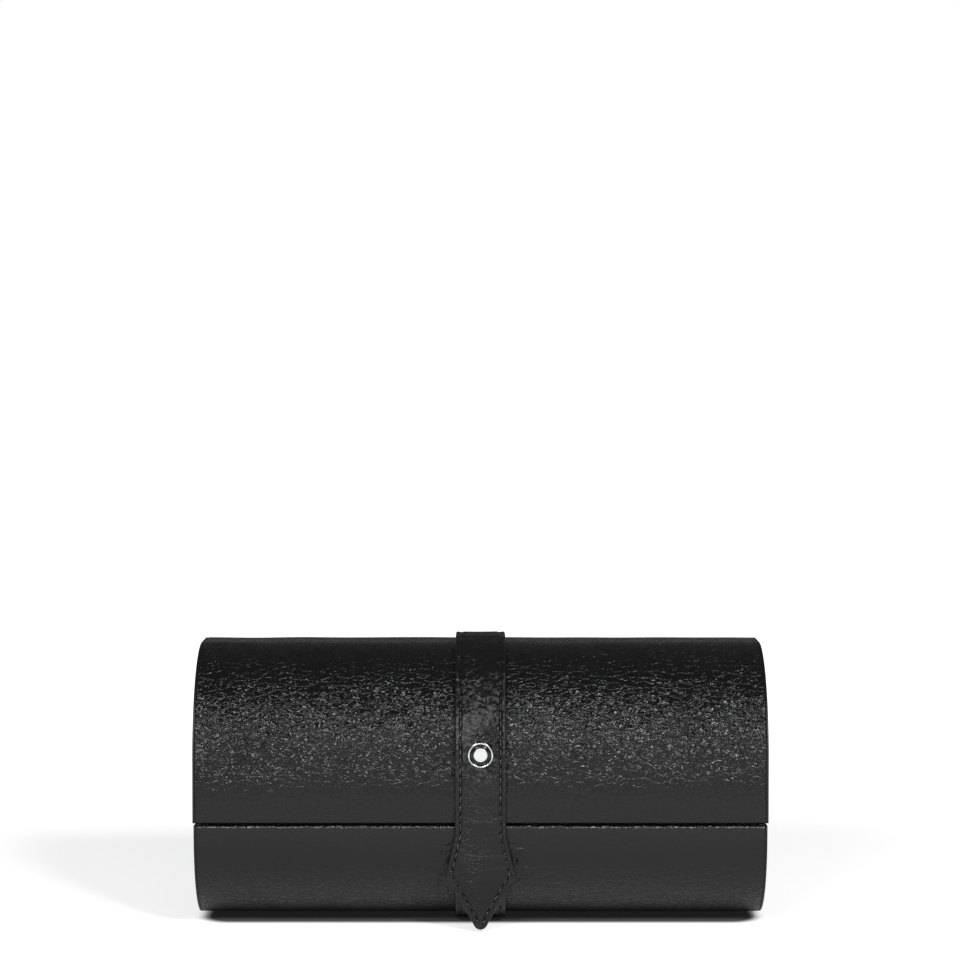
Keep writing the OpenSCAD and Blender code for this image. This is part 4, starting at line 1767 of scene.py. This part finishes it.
@dataclass
class Studio:
    """White paper under the case, three soft boxes and the camera of the photograph, all in metres."""

    paper: str = "#eeeeef"
    # painted shadow: the dark paper colour laid under the case's footprint
    painted_shadow_paper: str = "#666667"
    footprint: Point3 = (0.084, 0.0155, 0.0)
    lamps: tuple[Lamp, ...] = (
        Lamp("right_box", (0.56, -1.1, 0.79), (0, 0, 0.04), 0.22, 0.22, 9.5),
        Lamp("left_box", (-0.42, -1.16, 0.7), (0, 0, 0.04), 0.4, 0.2, 5.5),
        Lamp("low_strip", (0.0, -1.3, 0.66), (0, 0, 0.05), 0.7, 0.09, 2.6),
    )
    low_sky: float = 0.24
    high_sky: float = 0.08
    back_sky: float = 0.1
    lens_mm: float = 113.74
    sensor_mm: float = 36.0
    eye: Point3 = (-0.00017, -1.0368, 0.1937)
    look_down: float = 2.54

    def world(self) -> None:
        """Sets a white background; the room is pale low down in front, and dim overhead and behind."""
        world = bpy.data.worlds.new("studio")
        bpy.context.scene.world = world
        bench = Bench.cleared(world)
        parts = bench.add("ShaderNodeSeparateXYZ", {0: bench.add("ShaderNodeTexCoord")["Generated"]})
        rise = bench.ramp(parts["Z"], (0.05, 0.4), (self.low_sky, self.high_sky), smooth=True)
        room = bench.mix(bench.ramp(parts["Y"], (-0.2, 0.5), smooth=True), rise, self.back_sky)
        ray = bench.add("ShaderNodeLightPath")
        seen = bench.math("MAXIMUM", ray["Is Camera Ray"], ray["Is Transmission Ray"])
        # what is polished sees the white background too, low down, where the room is pale
        pale = bench.ramp(parts["Z"], (0.0, 0.16), (0.2, 0.0), smooth=True)
        either = bench.math("MAXIMUM", seen, bench.math("MULTIPLY", ray["Is Glossy Ray"], pale))
        level = bench.mix(either, room, 1.0)
        back = bench.add("ShaderNodeBackground", {"Color": (1, 1, 1, 1), "Strength": level})[0]
        bench.add("ShaderNodeOutputWorld", {"Surface": back})

    def floor(self) -> bpy.types.Object:
        """Lays the paper, which glows for the camera, takes the case's shadow, and has a painted shadow
        darkened into its colour under the case.

        Returns:
            The floor.
        """
        material = bpy.data.materials.new("matt white paper")
        bench = Bench.cleared(material)
        ray = bench.add("ShaderNodeLightPath")
        seen = bench.math("ADD", ray["Is Camera Ray"], ray["Is Transmission Ray"])
        either = bench.math("ADD", seen, bench.math("MULTIPLY", ray["Is Glossy Ray"], 0.4))
        # distance from the case's footprint: under it the paper has no glow, so its shadow stays dark
        past = bench.vector("SUBTRACT", bench.vector("ABSOLUTE", bench.place()), self.footprint)
        far = bench.vector("LENGTH", bench.vector("MAXIMUM", past))
        near = bench.ramp(far, (0.007, 0.013), (0.011, 0.66), smooth=True)
        wide = bench.ramp(far, (0.12, 0.5), (0.0, 0.5), smooth=True)
        # painted shadow: under the round foot of the case the paper's own colour is darkened, standing in for
        # the light lost there
        shade = bench.ramp(far, (0.007, 0.011))
        colour = bench.blend(shade, linear(self.painted_shadow_paper), linear(self.paper))
        matt = bench.add("ShaderNodeBsdfDiffuse", {"Color": colour})[0]
        level = bench.math("MULTIPLY", either, bench.math("ADD", near, wide))
        shine = bench.add("ShaderNodeEmission", {"Color": (1, 1, 1, 1), "Strength": level})[0]
        whole = bench.add("ShaderNodeAddShader", {0: matt, 1: shine})[0]
        bench.add("ShaderNodeOutputMaterial", {"Surface": whole})
        mesh = bpy.data.meshes.new("paper")
        mesh.from_pydata([(-30, -30, 0), (30, -30, 0), (30, 30, 0), (-30, 30, 0)], [], [(0, 1, 2, 3)])
        mesh.materials.append(material)
        paper = shown("paper", mesh)
        return paper

    def camera(self) -> bpy.types.Object:
        """Sets the camera where the photograph was taken from.

        Returns:
            The camera.
        """
        lens = bpy.data.cameras.new("camera")
        lens.lens, lens.sensor_width = self.lens_mm, self.sensor_mm
        camera = shown("camera", lens)
        camera.location = self.eye
        camera.rotation_euler = (math.radians(90 - self.look_down), 0.0, 0.0)
        bpy.context.scene.camera = camera
        return camera

    def build(self) -> None:
        """Builds the whole studio."""
        self.camera()
        self.world()
        self.floor()
        for lamp in self.lamps:
            lamp.build()
        bpy.context.scene.view_settings.view_transform = "Standard"


# ---------------------------------------------------------------- the case

CARRIED_OVER = {
    Surface.BOARD: ("base_board", "base_end_board_left", "base_end_board_right",
                    "lid_board", "lid_end_board_left", "lid_end_board_right"),
    Surface.LINING: ("base_lining", "lid_lining"),
    Surface.COLLAR: ("base_collar", "divider_left", "divider_right"),
    Surface.STEEL: ("closure_plate", "tongue_magnet", "emblem_pin"),
}


def dress_nodes() -> None:
    """Gives each CAD node that keeps its own shape its finish."""
    for surface, names in CARRIED_OVER.items():
        for name in names:
            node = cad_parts[name]
            node.data.materials.clear()
            node.data.materials.append(surface.build())
            LOG.info("node %s: %s", name, surface.name)


@dataclass
class WatchCase:
    """The whole case, built from the outside in."""

    sizes: CaseSizes = field(default_factory=CaseSizes)
    strap: Strap = field(default_factory=lambda: Strap(CaseSizes()))
    lid_pad_t: float = 3.0
    lid_pad_drop: float = 24.0
    lid_pad_side: float = 2.0
    floor_pad_t: float = 2.0

    def shells(self) -> list[bpy.types.Object]:
        """Builds the grained leather of lid and base.

        Returns:
            The pieces.
        """
        s, strap = self.sizes, self.strap
        lid_at, base_at = s.s_front(s.lid_level), s.s_front(s.base_level)
        levels, halves = (strap.point_at, strap.flare_from), (strap.tongue / 2, strap.width / 2)
        creases = drawn_creases(77, 16.0, 30.5, lambda z: float(np.interp(z, levels, halves)), 14)
        lid = Shell(s, "lid_shell", "lid_leather", Member.LID, Surface.LID,
                    first=lid_at, last=s.s_round - lid_at, reach=s.half_w - s.end_t,
                    pucker=Pucker(12.5, 50, 82, 4.5, 0.3, 2.2, 31), seam_round=0.5)
        base = Shell(s, "base_shell", "base_leather", Member.BASE, Surface.BASE,
                     first=s.s_round - base_at, last=s.s_round + base_at,
                     reach=s.half_w - s.base_step - s.end_t,
                     pucker=Pucker(12.0, 14, 31, 3.0, 0.12, 1.6, 32), creases=creases,
                     fine_rows=(s.s_round + s.flat_low + 20.0, s.s_round + base_at - 2.2), seed=8)
        return [lid.build(), base.build()]

    def ends(self) -> list[bpy.types.Object]:
        """Builds the four end panels.

        Returns:
            The pieces.
        """
        s = self.sizes
        made = []
        for side, word in ((-1, "left"), (1, "right")):
            for member, reach in ((Member.LID, s.half_w), (Member.BASE, s.half_w - s.base_step)):
                half = member.value
                name, node = f"{half}_end_panel_{word}", f"{half}_end_leather_{word}"
                made.append(EndPanel(s, name, node, member, side, reach).build())
        return made

    def pads(self) -> list[bpy.types.Object]:
        """Builds the pads in the lid's crown and on the base's floor.

        Returns:
            The pieces.
        """
        s = self.sizes
        path, board_t = s.outline(), s.wall_t - 0.4
        fall = s.top_r - s.wall_t - self.lid_pad_drop
        reach = s.top_r * math.acos(fall / (s.top_r - s.wall_t)) - 0.4
        lid = Pad("lid_padding", "lid_pad", Member.LID, path,
                  s.s_crown - reach, s.s_crown + 2 * s.flat_high + reach,
                  s.wall_t, self.lid_pad_t, s.half_w - board_t - self.lid_pad_side - 0.3)
        inner_r = s.bottom_r - s.wall_t
        wide = s.flat_low + s.bottom_r * math.acos((inner_r - self.floor_pad_t) / inner_r) - 0.3
        base = Pad("floor_padding", "floor_pad", Member.BASE, path, s.s_round - wide, s.s_round + wide,
                   s.wall_t, self.floor_pad_t, s.half_w - s.base_step - board_t - 0.2, soft_r=1.0)
        return [lid.build(), base.build()]

    def build(self) -> list[bpy.types.Object]:
        """Builds every piece.

        Returns:
            The pieces.
        """
        made = self.shells() + self.ends() + [Hinge(self.sizes).build()]
        made += Belt(self.sizes).build() + self.strap.build() + Emblem().build()
        made += self.pads() + Pillow().build()
        dress_nodes()
        return made


def main() -> None:
    """Builds the studio and the case."""
    logging.basicConfig(level=logging.INFO, format="%(name)s %(message)s")
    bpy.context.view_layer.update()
    Studio().build()
    pieces = WatchCase().build()
    LOG.info("%d pieces", len(pieces))


if __name__ == "__main__":
    main()
